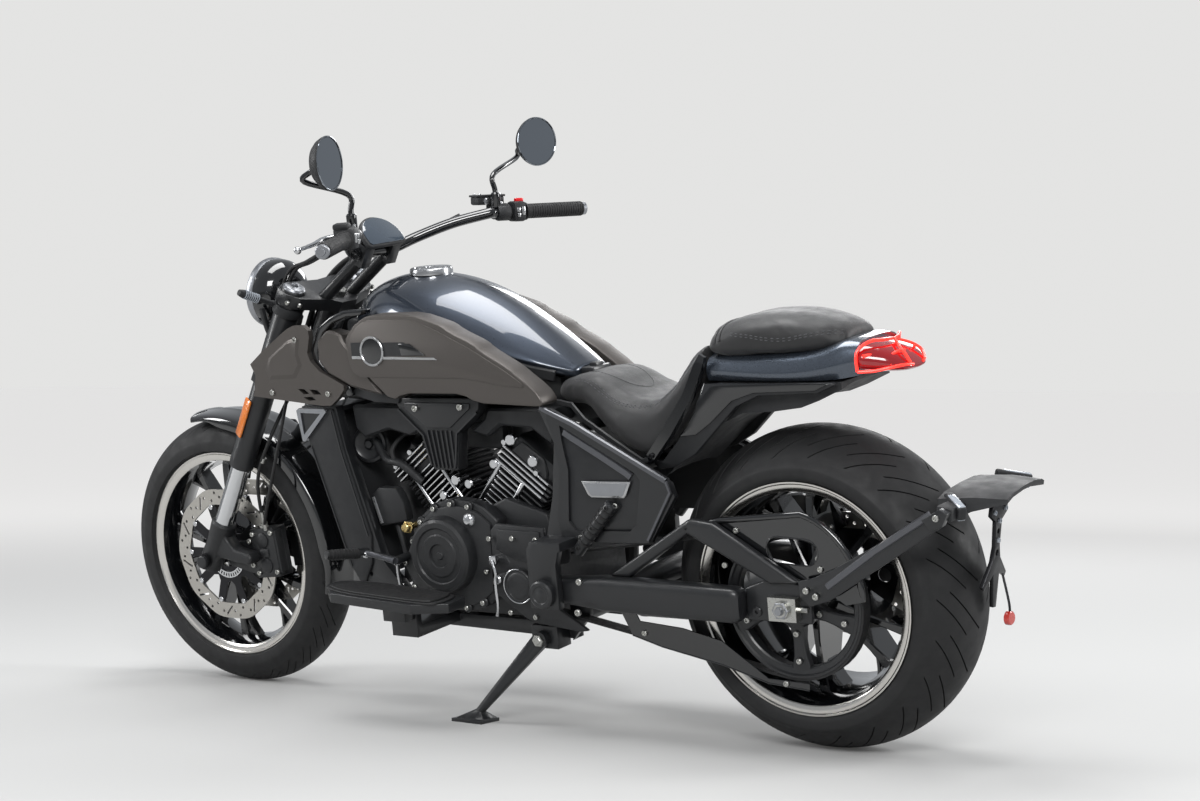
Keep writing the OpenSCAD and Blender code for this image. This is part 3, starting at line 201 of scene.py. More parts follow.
def make_finishes():
    """Makes every finish of the machine, by its maker's name for it."""
    paint = bpy.context.scene.cruiser_paint
    # metallic lacquer, sprayed and clear-coated: a deep blue-grey that lightens where light rakes it
    surface("blue_grey_lacquer", paint.tank, 0.75, 0.32, 1.0, 0.12, 3.0)
    # satin metallic paint under a matt clear coat: brownish grey with a soft wide highlight
    surface("matt_grey_lacquer", paint.panels, 0.6, 0.42, 0.0, 0.08, 4.0, 0.6, 0.01)
    # two-pack gloss lacquer: near black with sharp reflections
    surface("gloss_black_lacquer", paint.trim, 0.0, 0.12, 1.0, 0.1, 30.0)
    # polyester powder coat, baked: satin black with a faint orange-peel
    surface("satin_powder_coat", paint.frame, 0.0, 0.4, 0.15, 0.1, 20.0, 2.2, 0.05)
    # crackle enamel on cast alloy: black, dull and finely wrinkled
    surface("crackle_enamel", "#17181a", 0.0, 0.52, 0.1, 0.15, 12.0, 1.6, 0.18, True)
    # injection-moulded polypropylene with a spark-eroded grain: matt charcoal
    surface("moulded_grain", "#1b1c1e", 0.0, 0.6, 0.0, 0.08, 25.0, 0.9, 0.08)
    # fine-grained vinyl stretched over foam: black with small pores
    surface("grained_vinyl", "#1c1c1d", 0.0, 0.55, 0.0, 0.12, 18.0, 1.5, 0.16, True,
            {"Sheen Weight": 0.15, "Sheen Roughness": 0.5})
    # bonded polyester thread: pale grey stitches
    surface("seat_thread", "#56575a", 0.0, 0.7, 0.0, 0.2, 2.0, 0.5, 0.08)
    # carbon-filled tread rubber: dull black, slightly brown where it is scuffed
    surface("tread_rubber", "#161617", 0.0, 0.68, 0.0, 0.2, 30.0, 1.0, 0.06)
    # moulded synthetic rubber of grips, belts and hoses
    surface("moulded_rubber", "#141415", 0.0, 0.6, 0.0, 0.12, 10.0, 0.8, 0.05)
    # machined aluminium under clear lacquer: bright with fine tool marks
    surface("machined_alloy", "#c9cacc", 1.0, 0.22, 0.3, 0.06, 8.0, 0.8, 0.01, False, None, (1, 1, 6))
    # sand-cast aluminium, tumbled: pale grey and slightly rough
    surface("cast_alloy", "#9a9ca0", 1.0, 0.38, 0.0, 0.1, 10.0, 1.1, 0.04)
    # hard chrome on a ground tube: mirror bright
    surface("hard_chrome", "#d7d8da", 1.0, 0.08, 0.0, 0.03, 60.0)
    # zinc-plated steel fasteners: pale grey with worn edges
    surface("plated_steel", "#b4b4b0", 1.0, 0.3, 0.0, 0.12, 5.0, 0.7, 0.02)
    # black-oxide steel fasteners: dark with a dull shine
    surface("black_oxide", "#2c2c2e", 0.85, 0.35, 0.0, 0.12, 5.0, 0.7, 0.02)
    # nickel-plated brass caps of the engine's left side
    surface("bright_brass", "#c9b27a", 1.0, 0.28, 0.0, 0.1, 6.0)
    # red acrylic lens, moulded: deep red with light from inside
    surface("red_acrylic", "#7c0610", 0.0, 0.12, 1.0, 0.06, 20.0,
            shader={"Emission Color": linear("#c8101c"), "Emission Strength": 0.12})
    # edge-lit light pipe behind the lens: a bright red line
    surface("red_light_pipe", "#ff3a30", 0.0, 0.3,
            shader={"Emission Color": linear("#ff2a20"), "Emission Strength": 1.6})
    # amber reflector with a prismatic back
    surface("amber_reflector", "#d8741c", 0.0, 0.18, 1.0, 0.15, 4.0, 2.0, 0.2, True)
    # red reflector disc with a prismatic back
    surface("red_reflector", "#b32a1e", 0.0, 0.18, 1.0, 0.15, 4.0, 2.0, 0.2, True)
    # smoked acrylic over a switched-off display: black glass
    surface("dark_screen", "#39424c", 0.0, 0.1, 1.0, 0.1, 60.0)
    # sand-cast aluminium under satin black, drawn mid grey: painted highlight where the raised edges catch
    # the light
    surface("dark_alloy_and_edge_highlight", "#5b5c60", 0.7, 0.36, 0.1, 0.1, 10.0, 1.1, 0.03)
    # metallic lacquer of the tail cowl, a shade paler than the tank's
    surface("tail_alloy_lacquer", "#4a525d", 0.8, 0.3, 1.0, 0.1, 3.0)
    # silvered glass of the mirrors: slightly blue
    surface("mirror_glass", "#8f959c", 1.0, 0.04, 0.0, 0.02, 90.0)
    # clear polycarbonate of lamps, with the reflector's grey showing through
    surface("clear_lens", "#aab0b8", 0.2, 0.08, 1.0, 0.15, 12.0)
    # glossy red ABS of the stop switch
    surface("red_switch", "#d0181c", 0.0, 0.25, 0.3, 0.05, 10.0)
    # brushed and lacquered trim strip
    surface("silver_trim", "#b9babb", 1.0, 0.3, 0.2, 0.05, 10.0)
    # brake steel, ground and turned on each wheel's own axle: pale with fine rings
    turned_metal("front_brake_steel", "#b9b6b0", FRONT_AXLE, 3.0, 0.02, 0.32)
    turned_metal("rear_brake_steel", "#b9b6b0", REAR_AXLE, 3.0, 0.02, 0.32)
    # rim flanges turned after painting: bright with visible tool rings
    turned_metal("front_turned_rim", "#d3d0cb", FRONT_AXLE, 2.0, 0.015, 0.22)
    turned_metal("rear_turned_rim", "#d3d0cb", REAR_AXLE, 2.0, 0.015, 0.22)
    # satin black ceramic coat on the exhaust: heat-proof and dull
    surface("ceramic_black", "#222223", 0.3, 0.45, 0.0, 0.15, 25.0, 1.2, 0.03)


# ---------- shaping ----------


def dressed(name, shape, finish, body, stands_for):
    """A bmesh as an object with its finish, its body and the nodes it stands for."""
    mesh = bpy.data.meshes.new(name)
    shape.to_mesh(mesh)
    shape.free()
    made = bpy.data.objects.new(name, mesh)
    bpy.context.scene.collection.objects.link(made)
    mesh.materials.append(FINISHES[finish])
    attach(made, body)
    if stands_for:
        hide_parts(*stands_for)
    return made


def piece(name, shape, finish, body="chassis", place=UPRIGHT, sharp=32.0, stands_for=()):
    """Closes a bmesh into a finished object that rides on a body."""
    bmesh.ops.remove_doubles(shape, verts=shape.verts, dist=0.002)
    bmesh.ops.delete(shape, geom=[e for e in shape.edges if e.is_wire], context="EDGES")
    bmesh.ops.holes_fill(shape, edges=[e for e in shape.edges if e.is_boundary], sides=0)
    shape.transform(place)
    bmesh.ops.recalc_face_normals(shape, faces=shape.faces)
    for face in shape.faces:
        face.smooth = True
    for edge in shape.edges:
        edge.smooth = not (len(edge.link_faces) == 2
                           and edge.calc_face_angle(0.0) > math.radians(sharp))
    return dressed(name, shape, finish, body, stands_for)


def rounded(shape, edges, width, segments):
    """Rounds edges; returns what the bevel made."""
    return bmesh.ops.bevel(shape, geom=edges, offset=width, segments=segments, profile=0.5,
                           affect="EDGES", material=-1, clamp_overlap=True)


def drawn(shape, loop, y):
    """A loop of x and z drawn at y, as its corners and its edges."""
    corners = [shape.verts.new((x, y, z)) for x, z in loop]
    return corners, [shape.edges.new((corners[i - 1], corners[i])) for i in range(len(corners))]


def filled(shape, edges):
    """The faces between loops that lie in one plane."""
    made = bmesh.ops.triangle_fill(shape, use_beauty=True, edges=edges, normal=(0, -1, 0))["geom"]
    return [g for g in made if isinstance(g, bmesh.types.BMFace)]


def thickened(shape, faces, depth):
    """Gives faces a depth along y."""
    grown = bmesh.ops.extrude_face_region(shape, geom=faces, use_keep_orig=True)["geom"]
    top = [g for g in grown if isinstance(g, bmesh.types.BMVert)]
    bmesh.ops.translate(shape, verts=top, vec=(0, depth, 0))


def plate(shape, outline, low, high, holes=(), bevel=0.0, segments=2, place=None):
    """A plate cut to an outline of x and z, from y = low to y = high, with bevelled rims."""
    rims, old = [], set(shape.verts)
    for loop in (outline, *holes):
        corners, edges = drawn(shape, loop, low)
        rims += edges
    faces = filled(shape, rims) if holes else [shape.faces.new(corners)]
    thickened(shape, faces, high - low)
    if bevel:
        ends = {e for v in shape.verts if v not in old for e in v.link_edges}
        rounded(shape, [e for e in ends if len(e.link_faces) == 2 and e.calc_face_angle(0.0) > 0.6],
                bevel, segments)
    if place is not None:
        bmesh.ops.transform(shape, matrix=place, verts=[v for v in shape.verts if v not in old])


def sweep(shape, rings):
    """A capped skin through rings of equal counts: a first ring is extruded to each next."""
    current = [shape.verts.new(p) for p in rings[0]]
    edges = [shape.edges.new((current[i], current[(i + 1) % len(current)])) for i in range(len(current))]
    shape.faces.new(current)
    for ring in rings[1:]:
        grown = bmesh.ops.extrude_edge_only(shape, edges=edges)["geom"]
        fresh = {g for g in grown if isinstance(g, bmesh.types.BMVert)}
        following = []
        for vert, spot in zip(current, ring):
            after = next(e.other_vert(vert) for e in vert.link_edges if e.other_vert(vert) in fresh)
            after.co = spot
            following.append(after)
        current = following
        edges = [shape.edges.get((current[i], current[(i + 1) % len(current)]))
                 for i in range(len(current))]
    shape.faces.new(current)


def smooth_path(points, steps):
    """A smooth run through a few points, with steps between two of them."""
    pts = [Vector(p) for p in points]
    out = []
    for i in range(len(pts) - 1):
        a, b, c, d = pts[max(i - 1, 0)], pts[i], pts[i + 1], pts[min(i + 2, len(pts) - 1)]
        for k in range(steps + (i == len(pts) - 2)):
            t = k / steps
            out.append(0.5 * (2 * b + (c - a) * t + (2 * a - 5 * b + 4 * c - d) * t * t
                              + (3 * b - a - 3 * c + d) * t ** 3))
    return out


def tube(shape, points, radius, sides=14, steps=0, squash=1.0):
    """A round bar along points; radius is one number or one for each point."""
    path = smooth_path(points, steps) if steps else [Vector(p) for p in points]
    last = len(path) - 1
    along = [(path[min(i + 1, last)] - path[max(i - 1, 0)]).normalized() for i in range(len(path))]
    side = Vector((0, 1, 0)) if abs(along[0].y) < 0.8 else Vector((1, 0, 0))
    rings = []
    for i, spot in enumerate(path):
        side = (side - along[i] * side.dot(along[i])).normalized()
        up = along[i].cross(side)
        r = radius[round(i * (len(radius) - 1) / last)] if isinstance(radius, (list, tuple)) else radius
        rings.append([spot + side * (r * math.cos(math.tau * k / sides))
                      + up * (r * squash * math.sin(math.tau * k / sides)) for k in range(sides)])
    sweep(shape, rings)


def lathe(shape, profile, place, steps=48):
    """A profile of radius and height spun about place's Z axis."""
    verts = [shape.verts.new(place @ Vector((r, 0, h))) for r, h in profile]
    edges = [shape.edges.new(pair) for pair in zip(verts, verts[1:])]
    bmesh.ops.spin(shape, geom=verts + edges, cent=place.translation,
                   axis=(place.to_3x3() @ Vector((0, 0, 1))).normalized(), dvec=(0, 0, 0),
                   angle=math.tau, steps=steps, use_merge=True, use_duplicate=False)


def bolt(shape, spot, direction, radius, height=None):
    """A cap screw with a rounded rim and a socket in its head."""
    h = radius * 0.8 if height is None else height
    lathe(shape, [(0, h * 0.45), (radius * 0.5, h * 0.45), (radius * 0.55, h), (radius * 0.86, h),
                  (radius, h * 0.8), (radius, -1.0)], facing(spot, direction), 12)


def bolts(name, spots, radius, finish="plated_steel", direction=(0, 1, 0), place=UPRIGHT):
    """One piece that holds several like screws."""
    shape = bmesh.new()
    for spot in spots:
        bolt(shape, spot, direction, radius)
    return piece(name, shape, finish, place=place)


def box(shape, low, high, bevel=0.0, place=None, segments=2):
    """A block between two corners, with rounded edges."""
    low, high = Vector(low), Vector(high)
    made = bmesh.ops.create_cube(shape, size=1.0)["verts"]
    bmesh.ops.scale(shape, verts=made, vec=high - low)
    bmesh.ops.translate(shape, verts=made, vec=(low + high) / 2)
    if bevel:
        edges = list({e for v in made for e in v.link_edges})
        made = rounded(shape, edges, bevel, segments)["verts"]
    if place is not None:
        bmesh.ops.transform(shape, matrix=place, verts=made)


def softened(node, finish, width):
    """A CAD node's own shape with its sharp edges rounded, in place of the node."""
    source = frame["nodes"][node]
    shape = bmesh.new()
    shape.from_mesh(source.data)
    bmesh.ops.remove_doubles(shape, verts=shape.verts, dist=1e-6)
    bmesh.ops.dissolve_limit(shape, angle_limit=math.radians(1.0), verts=shape.verts,
                             edges=shape.edges, use_dissolve_boundaries=False)
    sharp = [e for e in shape.edges if len(e.link_faces) == 2
             and e.calc_face_angle(0.0) > math.radians(28)]
    rounded(shape, sharp, width / 1000.0, 2)
    for face in shape.faces:
        face.smooth = True
    dressed(node + "_rounded", shape, finish, source["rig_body"], (node,))


def record_slot(node):
    """The record's material slot of a CAD node."""
    return next(s["material_slot"] for s in frame["record"]["subparts"] if s["node"] == node)


def paint_node(node, finish):
    """Gives a carried-over CAD node its finish."""
    node_mesh = frame["nodes"][node].data
    node_mesh.materials.clear()
    node_mesh.materials.append(FINISHES[finish])


def sided(s, low, high):
    """A span of y on the left, or its mirror on the right."""
    return (low, high) if s > 0 else (-high, -low)


# ---------- wheels ----------


def tyre(name, node, axle, radius, width, flange, half_rim, pitches, body):
    """A tyre with curved sipes cut into its crown, one pitch of tread repeated round it."""
    crown = width * 0.55
    angles = [math.radians(a) for a in range(-54, 55, 4)]
    profile = [(radius - crown + crown * math.cos(a), crown * math.sin(a)) for a in angles]
    wall = [(flange + 30, width / 2 - 1.4), (flange + 27, width / 2 - 0.2), (flange + 22, width / 2 - 0.4),
            (flange + 14, width / 2), (flange + 6, width / 2 - 1.6), (flange + 1.5, half_rim - 3),
            (flange - 4, half_rim - 9), (flange - 12, half_rim - 30)]
    profile = [(r, -w) for r, w in reversed(wall)] + profile + wall
    profile.append(profile[0])
    first_crown = len(wall)
    columns = [0.0, 0.23, 0.28, 0.5, 0.73, 0.78, 1.0]
    pitch = math.tau / pitches
    shape = bmesh.new()
    grid = bmesh.ops.create_grid(shape, x_segments=len(columns) - 1, y_segments=len(profile) - 1,
                                 size=1.0)["verts"]
    xs = sorted({round(v.co.x, 4) for v in grid})
    ys = sorted({round(v.co.y, 4) for v in grid})
    place = {}
    for vert in grid:
        i, j = xs.index(round(vert.co.x, 4)), ys.index(round(vert.co.y, 4))
        r, w = profile[j]
        lean = min(1.0, abs(w) / (crown * 0.8))
        turn = pitch * (columns[i] + 1.5 * lean ** 1.4)
        place[vert] = (i, j)
        vert.co = (r * math.cos(turn), r * math.sin(turn), w)

    def cut(face):
        i = min(place[v][0] for v in face.verts)
        j = min(place[v][1] for v in face.verts) - first_crown
        if not 0 <= j < len(angles) - 1 or i not in (1, 4):
            return False
        tilt = math.degrees((angles[j] + angles[j + 1]) / 2)
        long = (i == 1) == (tilt > 0)
        return 5 < abs(tilt) < 37 if long else 22 < abs(tilt) < 51

    cuts = [f for f in shape.faces if cut(f)]
    dug = bmesh.ops.extrude_face_region(shape, geom=cuts)["geom"]
    bmesh.ops.delete(shape, geom=cuts, context="FACES")
    for vert in (g for g in dug if isinstance(g, bmesh.types.BMVert)):
        depth = (Vector((vert.co.x, vert.co.y, 0)).normalized() * GROOVE_DEPTH
                 + Vector((0, 0, vert.co.z)) * 0.02)
        vert.co -= depth
    bmesh.ops.spin(shape, geom=list(shape.verts) + list(shape.edges) + list(shape.faces),
                   cent=(0, 0, 0), axis=(0, 0, 1), dvec=(0, 0, 0),
                   angle=math.tau * (pitches - 1) / pitches, steps=pitches - 1,
                   use_merge=False, use_duplicate=True)
    return piece(name, shape, "tread_rubber", body=body, place=UPRIGHT @ wheel_place(axle), sharp=40,
                 stands_for=(node,))


def spoke(shape, hub_r, rim_r, hub_turn, rim_turn, hub_half, rim_half, width):
    """One rim spoke, thick at the hub, with chamfered faces; angles in degrees."""
    rings = []
    for t in (0.0, 0.12, 0.35, 0.65, 0.88, 1.0):
        r = hub_r + (rim_r - hub_r) * t
        turn = math.radians(hub_turn + (rim_turn - hub_turn) * t)
        w = width / 2 * (1.25 - 0.5 * math.sin(math.pi * min(1, t * 1.1)) + 0.25 * t)
        h = hub_half + (rim_half - hub_half) * t
        out = Vector((math.cos(turn), math.sin(turn), 0))
        side = Vector((-math.sin(turn), math.cos(turn), 0))
        c = min(3.0, w * 0.35)
        rings.append([out * r + side * a + Vector((0, 0, b)) for a, b in (
            (-w, -h + c), (-w + c, -h), (w - c, -h), (w, -h + c),
            (w, h - c), (w - c, h), (-w + c, h), (-w, h - c))])
    sweep(shape, rings)


def rim(name, node, axle, flange, half_rim, hub_half, hub_r, spoke_half, body):
    """A cast rim: black barrel and paired spokes, and a bright turned flange on each side."""
    place = UPRIGHT @ wheel_place(axle)
    level = Matrix.Identity(4)
    shape = bmesh.new()
    side = [(flange - 3, half_rim - 1.5), (flange - 12.6, half_rim - 9), (flange - 12.6, half_rim - 30),
            (flange - 25, half_rim - 38)]
    inner = [(flange - 33, half_rim - 38), (flange - 23, half_rim - 16), (flange - 19, half_rim - 6)]
    loop = side + [(r, -h) for r, h in reversed(side)] + [(r, -h) for r, h in reversed(inner)] + inner
    lathe(shape, loop + loop[:1], level, 96)
    for k in range(5):
        for s in (-1, 1):
            spoke(shape, hub_r - 6, flange - 26, 72 * k + s * 9, 72 * k + s * 13, hub_half * 0.62,
                  spoke_half, 15)
            spoke(shape, flange * 0.62, flange - 26, 72 * k + s * 12, 72 * k + s * 24,
                  spoke_half * 0.8, spoke_half * 0.8, 9)
        spoke(shape, hub_r - 4, hub_r + 34, 72 * k, 72 * k, hub_half * 0.5, spoke_half * 0.7, 24)
    lathe(shape, [(AXLE_BORE, -hub_half), (hub_r * 0.55, -hub_half), (hub_r * 0.62, -hub_half + 4),
                  (hub_r, -hub_half * 0.7), (hub_r, hub_half * 0.7), (hub_r * 0.62, hub_half - 4),
                  (hub_r * 0.55, hub_half), (AXLE_BORE, hub_half), (AXLE_BORE, -hub_half)], level, 40)
    rim_slot = record_slot(node)
    piece(name, shape, "gloss_black_lacquer", body=body, place=place, sharp=30, stands_for=(node,))
    shape = bmesh.new()
    lip = [(flange - 1, half_rim - 3), (flange + 1.2, half_rim - 1), (flange + 0.6, half_rim + 0.6),
           (flange - 2.5, half_rim + 0.8), (flange - 5, half_rim - 1.5), (flange - 7.5, half_rim - 1.6),
           (flange - 16, half_rim - 3.6), (flange - 19.2, half_rim - 6.2), (flange - 19.2, half_rim - 12),
           (flange - 14, half_rim - 8)]
    for s in (-1, 1):
        lathe(shape, [(r, s * h) for r, h in lip + lip[:1]], level, 96)
    piece(name + "_flanges", shape, "front_turned_rim" if axle is FRONT_AXLE else "rear_turned_rim",
          body=body, place=place, sharp=30)


DRILL = 3.6
GROOVE_DEPTH = 4.5


def polar(turn, r):
    """The point at an angle in degrees and a radius."""
    a = math.radians(turn)
    return r * math.cos(a), r * math.sin(a)


def round_hole(x, z, r, count=8):
    """A round outline, such as a hole's."""
    return [(x + r * math.cos(math.tau * k / count), z + r * math.sin(math.tau * k / count))
            for k in range(count)]


def slot_hole(turn, r0, r1, half):
    """A slot that runs outward from r0 to r1, slanted, at an angle in degrees."""
    out = []
    for degrees, r, way in ((turn, r0, 1), (turn + 7, r1, -1)):
        centre, angle = polar(degrees, r), math.radians(degrees)
        for k in range(5):
            bend = angle + way * math.pi / 2 + math.pi * k / 4
            out.append((centre[0] + half * math.cos(bend), centre[1] + half * math.sin(bend)))
    return out


def ring_plate(shape, outer, inner, low, high, sectors, holes, wave, place):
    """A drilled brake ring with a wavy rim, filled sector by sector so that each hole stays open."""
    old, faces = set(shape.verts), []
    for k in range(sectors):
        turns = [math.tau * (k + t / 9) / sectors for t in range(10)]
        outline = []
        for radius, run in ((outer, turns), (inner, turns[::-1])):
            for a in run:
                r = radius + wave * math.cos(10 * a)
                outline.append((r * math.cos(a), r * math.sin(a)))
        rims = []
        for loop in (outline, *holes(360 * k / sectors)):
            rims += drawn(shape, loop, low)[1]
        faces += filled(shape, rims)
    fresh = [v for v in shape.verts if v not in old]
    bmesh.ops.remove_doubles(shape, verts=fresh, dist=0.01)
    thickened(shape, faces, high - low)
    bmesh.ops.transform(shape, matrix=place, verts=[v for v in shape.verts if v not in old])


def drilled(turn, r):
    """A drilled hole at an angle in degrees and a radius."""
    return round_hole(*polar(turn, r), DRILL)


def front_discs():
    """Two wavy, drilled front discs on black carriers with bright buttons."""
    shape, carriers, buttons = bmesh.new(), bmesh.new(), bmesh.new()
    place = Matrix.Translation(FRONT_AXLE)
    for y in (-60.5, 56.5):
        ring_plate(shape, 158, 121, y, y + 4, 10, lambda a: [
            drilled(a + 4, 132), drilled(a + 10, 149), drilled(a + 16, 138), drilled(a + 31, 144),
            slot_hole(a + 20, 129, 150, 3.0)], 1.8, place)
        low = y + 0.4
        inner = round_hole(0, 0, 30, 40)
        star = []
        for k in range(10):
            base = 36 * k
            for turn, r in ((base - 5.5, 119), (base + 5.5, 119), (base + 9, 74), (base + 18, 64),
                            (base + 27, 74)):
                star.append(polar(turn, r))
        plate(carriers, star, low, low + 3.2, [inner], 0.6, 1, place=place)
        for k in range(10):
            x, z = polar(36 * k, 118)
            for out, face in ((1, y + 4.0), (-1, y)):
                lathe(buttons, [(0, 1.2), (3.2, 1.2), (3.4, 1.7), (5.8, 1.7), (6.4, 1.0), (6.4, -0.5)],
                      place @ facing((x, face, z), (0, out, 0)), 14)
    piece("front_brake_discs", shape, "front_brake_steel", body="front_wheel", sharp=30,
          stands_for=("front_discs",))
    piece("front_disc_carriers", carriers, "black_oxide", body="front_wheel")
    piece("front_disc_buttons", buttons, "machined_alloy", body="front_wheel")
    ring = bmesh.new()
    slots = [[polar(a, r) for r, a in ((46, t - 2), (54, t - 2), (54, t + 2), (46, t + 2))]
             for t in range(0, 360, 9)]
    plate(ring, round_hole(0, 0, 57, 60), 61.5, 63, [round_hole(0, 0, 43, 40), *slots], place=place)
    piece("speed_sensor_ring", ring, "machined_alloy", body="front_wheel")


def rear_drive():
    """The belt pulley with its spokes and screws, and the rear disc on the right."""
    place = UPRIGHT @ wheel_place(REAR_AXLE)
    shape, screws = bmesh.new(), bmesh.new()
    level = Matrix.Identity(4)
    y0, y1 = 125.5, 153.5
    lathe(shape, [(126, y0), (145.6, y0), (145.6, y1), (141, y1), (138, y1 - 4), (129, y1 - 6),
                  (126, y1 - 9), (126, y0)], level, 120)
    for k in range(5):
        spoke(shape, 40, 130, 72 * k + 20, 72 * k + 20, 12, 9, 26)
        for r in (58, 112):
            bolt(screws, (*polar(72 * k + 20, r), y0 + 26), (0, 0, 1), 6)
    lathe(shape, [(AXLE_BORE, 101), (48, 101), (48, y1 - 8), (44, y1 - 2), (30, y1), (AXLE_BORE, y1),
                  (AXLE_BORE, 101)], level, 40)
    bmesh.ops.translate(shape, verts=[v for v in shape.verts if abs(v.co.z) <= 12.01], vec=(0, 0, 139))
    piece("belt_pulley", shape, "satin_powder_coat", body="rear_wheel", place=place, sharp=30,
          stands_for=("rear_pulley",))
    piece("pulley_screws", screws, "plated_steel", body="rear_wheel", place=place)
    shape, carrier = bmesh.new(), bmesh.new()
    at = Matrix.Translation(REAR_AXLE)
    ring_plate(shape, 127.5, 94, -105.6, -100.6, 12, lambda a: [
        drilled(a + t, r) for t, r in ((4, 104), (11, 118), (18, 106), (26, 117))], 1.6, at)
    plate(carrier, round_hole(0, 0, 97, 60), -105, -101.2, [round_hole(0, 0, 25, 32), *[
        round_hole(*polar(t, 66), 15, 12)
        for t in range(0, 360, 60)]], place=at)
    piece("rear_brake_disc", shape, "rear_brake_steel", body="rear_wheel", stands_for=("rear_disc",))
    piece("rear_disc_carrier", carrier, "black_oxide", body="rear_wheel")
    paint_node("drive_belt", "moulded_rubber")
    paint_node("front_axle", "black_oxide")


# ---------- bodywork ----------


def loft(name, rings, finish, creased, ends, stands_for, body="chassis"):
    """A smooth closed shell through rings of equal counts; creased columns stay as soft edges."""
    shape = bmesh.new()
    sweep(shape, rings)
    crease = shape.edges.layers.float.new("crease_edge")
    spots = {}
    for ring in rings:
        for column, spot in enumerate(ring):
            spots[tuple(round(c, 3) for c in spot)] = column
    for edge in shape.edges:
        a, b = (spots.get(tuple(round(c, 3) for c in v.co)) for v in edge.verts)
        if any(len(f.verts) > 4 for f in edge.link_faces):
            edge[crease] = ends
        elif a == b and a in creased:
            edge[crease] = creased[a]
    made = piece(name, shape, finish, body=body, sharp=60, stands_for=stands_for)
    rounding = made.modifiers.new("rounding", "SUBSURF")
    rounding.levels = rounding.render_levels = 2
    return made


def mirrored_ring(x, half):
    """A closed ring across the machine from its left half, top first, as y and z."""
    return [(x, y, z) for y, z in half] + [(x, -y, z) for y, z in reversed(half) if y > 0.01]


def sides_plate(name, outline, low, high, finish, holes=(), bevel=2.0, segments=2, sharp=26,
                stands_for=()):
    """The same bevelled plate on the left and on the right."""
    shape = bmesh.new()
    for s in (1, -1):
        plate(shape, outline, *sided(s, low, high), holes=holes, bevel=bevel, segments=segments)
    piece(name, shape, finish, sharp=sharp, stands_for=stands_for)


def strip(shape, path, width, height, side=1):
    """A thin flat strip along x, z points at its own y, proud by height."""
    rings = []
    pts = [Vector(p) for p in path]
    last = len(pts) - 1
    for i, p in enumerate(pts):
        along = (pts[min(i + 1, last)] - pts[max(i - 1, 0)]).normalized()
        across = Vector((0, side, 0)).cross(along).normalized() * (width / 2)
        up = Vector((0, side * height, 0))
        rings.append([p - across, p + across, p + across * 0.7 + up, p - across * 0.7 + up])
    sweep(shape, rings)


TANK_STATIONS = [  # x, ridge, ridge half, half width, shoulder, base
    (1127, 898, 12, 44, 846, 808), (1104, 924, 16, 66, 858, 795), (1076, 944, 20, 88, 868, 784),
    (1020, 965, 26, 126, 884, 783), (948, 974, 30, 148, 890, 783), (858, 963, 28, 153, 876, 783),
    (768, 932, 24, 146, 842, 783), (678, 881, 20, 125, 806, 772), (600, 824, 15, 98, 783, 755),
    (552, 786, 11, 72, 767, 751), (530, 767, 8, 54, 760, 751)]


def fuel_tank():
    """The tank shell with its ridge, shoulder crease and flush filler lid."""
    rings = []
    for x, top, flat, w, low, base in TANK_STATIONS:
        rise = top - low
        rings.append(mirrored_ring(x, [
            (0, top), (flat, top - rise * 0.03), (w * 0.46, top - rise * 0.14),
            (w * 0.70, top - rise * 0.32), (w * 0.88, low + rise * 0.36), (w * 0.975, low + rise * 0.12),
            (w, low - 1), (w * 0.975, low - 9), (w * 0.90, low - 19), (w * 0.6, base), (0, base)]))
    loft("tank_shell", rings, "blue_grey_lacquer", {3: 0.25, 6: 0.75, 13: 0.75, 16: 0.25, 9: 1.0}, 1.0,
         ("fuel_tank",))
    lid = bmesh.new()
    place = facing((930, 0, 971), (-0.03, 0, 1))
    lathe(lid, [(0, 9.5), (30, 9.2), (33, 8.2), (34, 6.4), (35.2, 6.4), (37, 8.6), (43, 8.4), (46, 6.6),
                (47, 3), (47, -6), (0, -6)], place, 48)
    box(lid, (-14, -5, 8.6), (10, 5, 10.6), 1.2, place)
    piece("filler_lid", lid, "machined_alloy")
    saddle = bmesh.new()
    for s in (1, -1):
        strip(saddle, [(1108, s * 64, 852), (1062, s * 96, 862), (1000, s * 133, 872), (930, s * 146, 872),
                       (858, s * 147, 858), (768, s * 139, 826), (690, s * 123, 792), (610, s * 96, 764),
                       (566, s * 78, 752)], 26, 5, s)
    piece("tank_rubber_seal", saddle, "moulded_grain")
    tail = bmesh.new()
    box(tail, (500, -34, 744), (540, 34, 764), 5)
    box(tail, (506, -14, 758), (524, 14, 771), 3)
    piece("tank_rear_bracket", tail, "satin_powder_coat")
    nose = bmesh.new()
    box(nose, (1108, -60, 800), (1142, 60, 876), 12)
    piece("tank_front_cover", nose, "moulded_grain")


def eased(outline, reach=12.0):
    """An outline with each corner cut back, so that a pressed panel's edge runs smoothly."""
    out = []
    for i, corner in enumerate(outline):
        spot = Vector(corner)
        for other in (outline[i - 1], outline[(i + 1) % len(outline)]):
            along = Vector(other) - spot
            out.append(tuple(spot + along * min(0.3, reach / along.length)))
    return out


PANEL = [(1044, 836), (1020, 870), (984, 893), (960, 899), (850, 899), (796, 882), (770, 874), (752, 861),
         (688, 834), (676, 822), (604, 784), (592, 774), (546, 742), (530, 722), (528, 709), (536, 706),
         (695, 712), (732, 731), (890, 731), (922, 713), (1000, 782)]


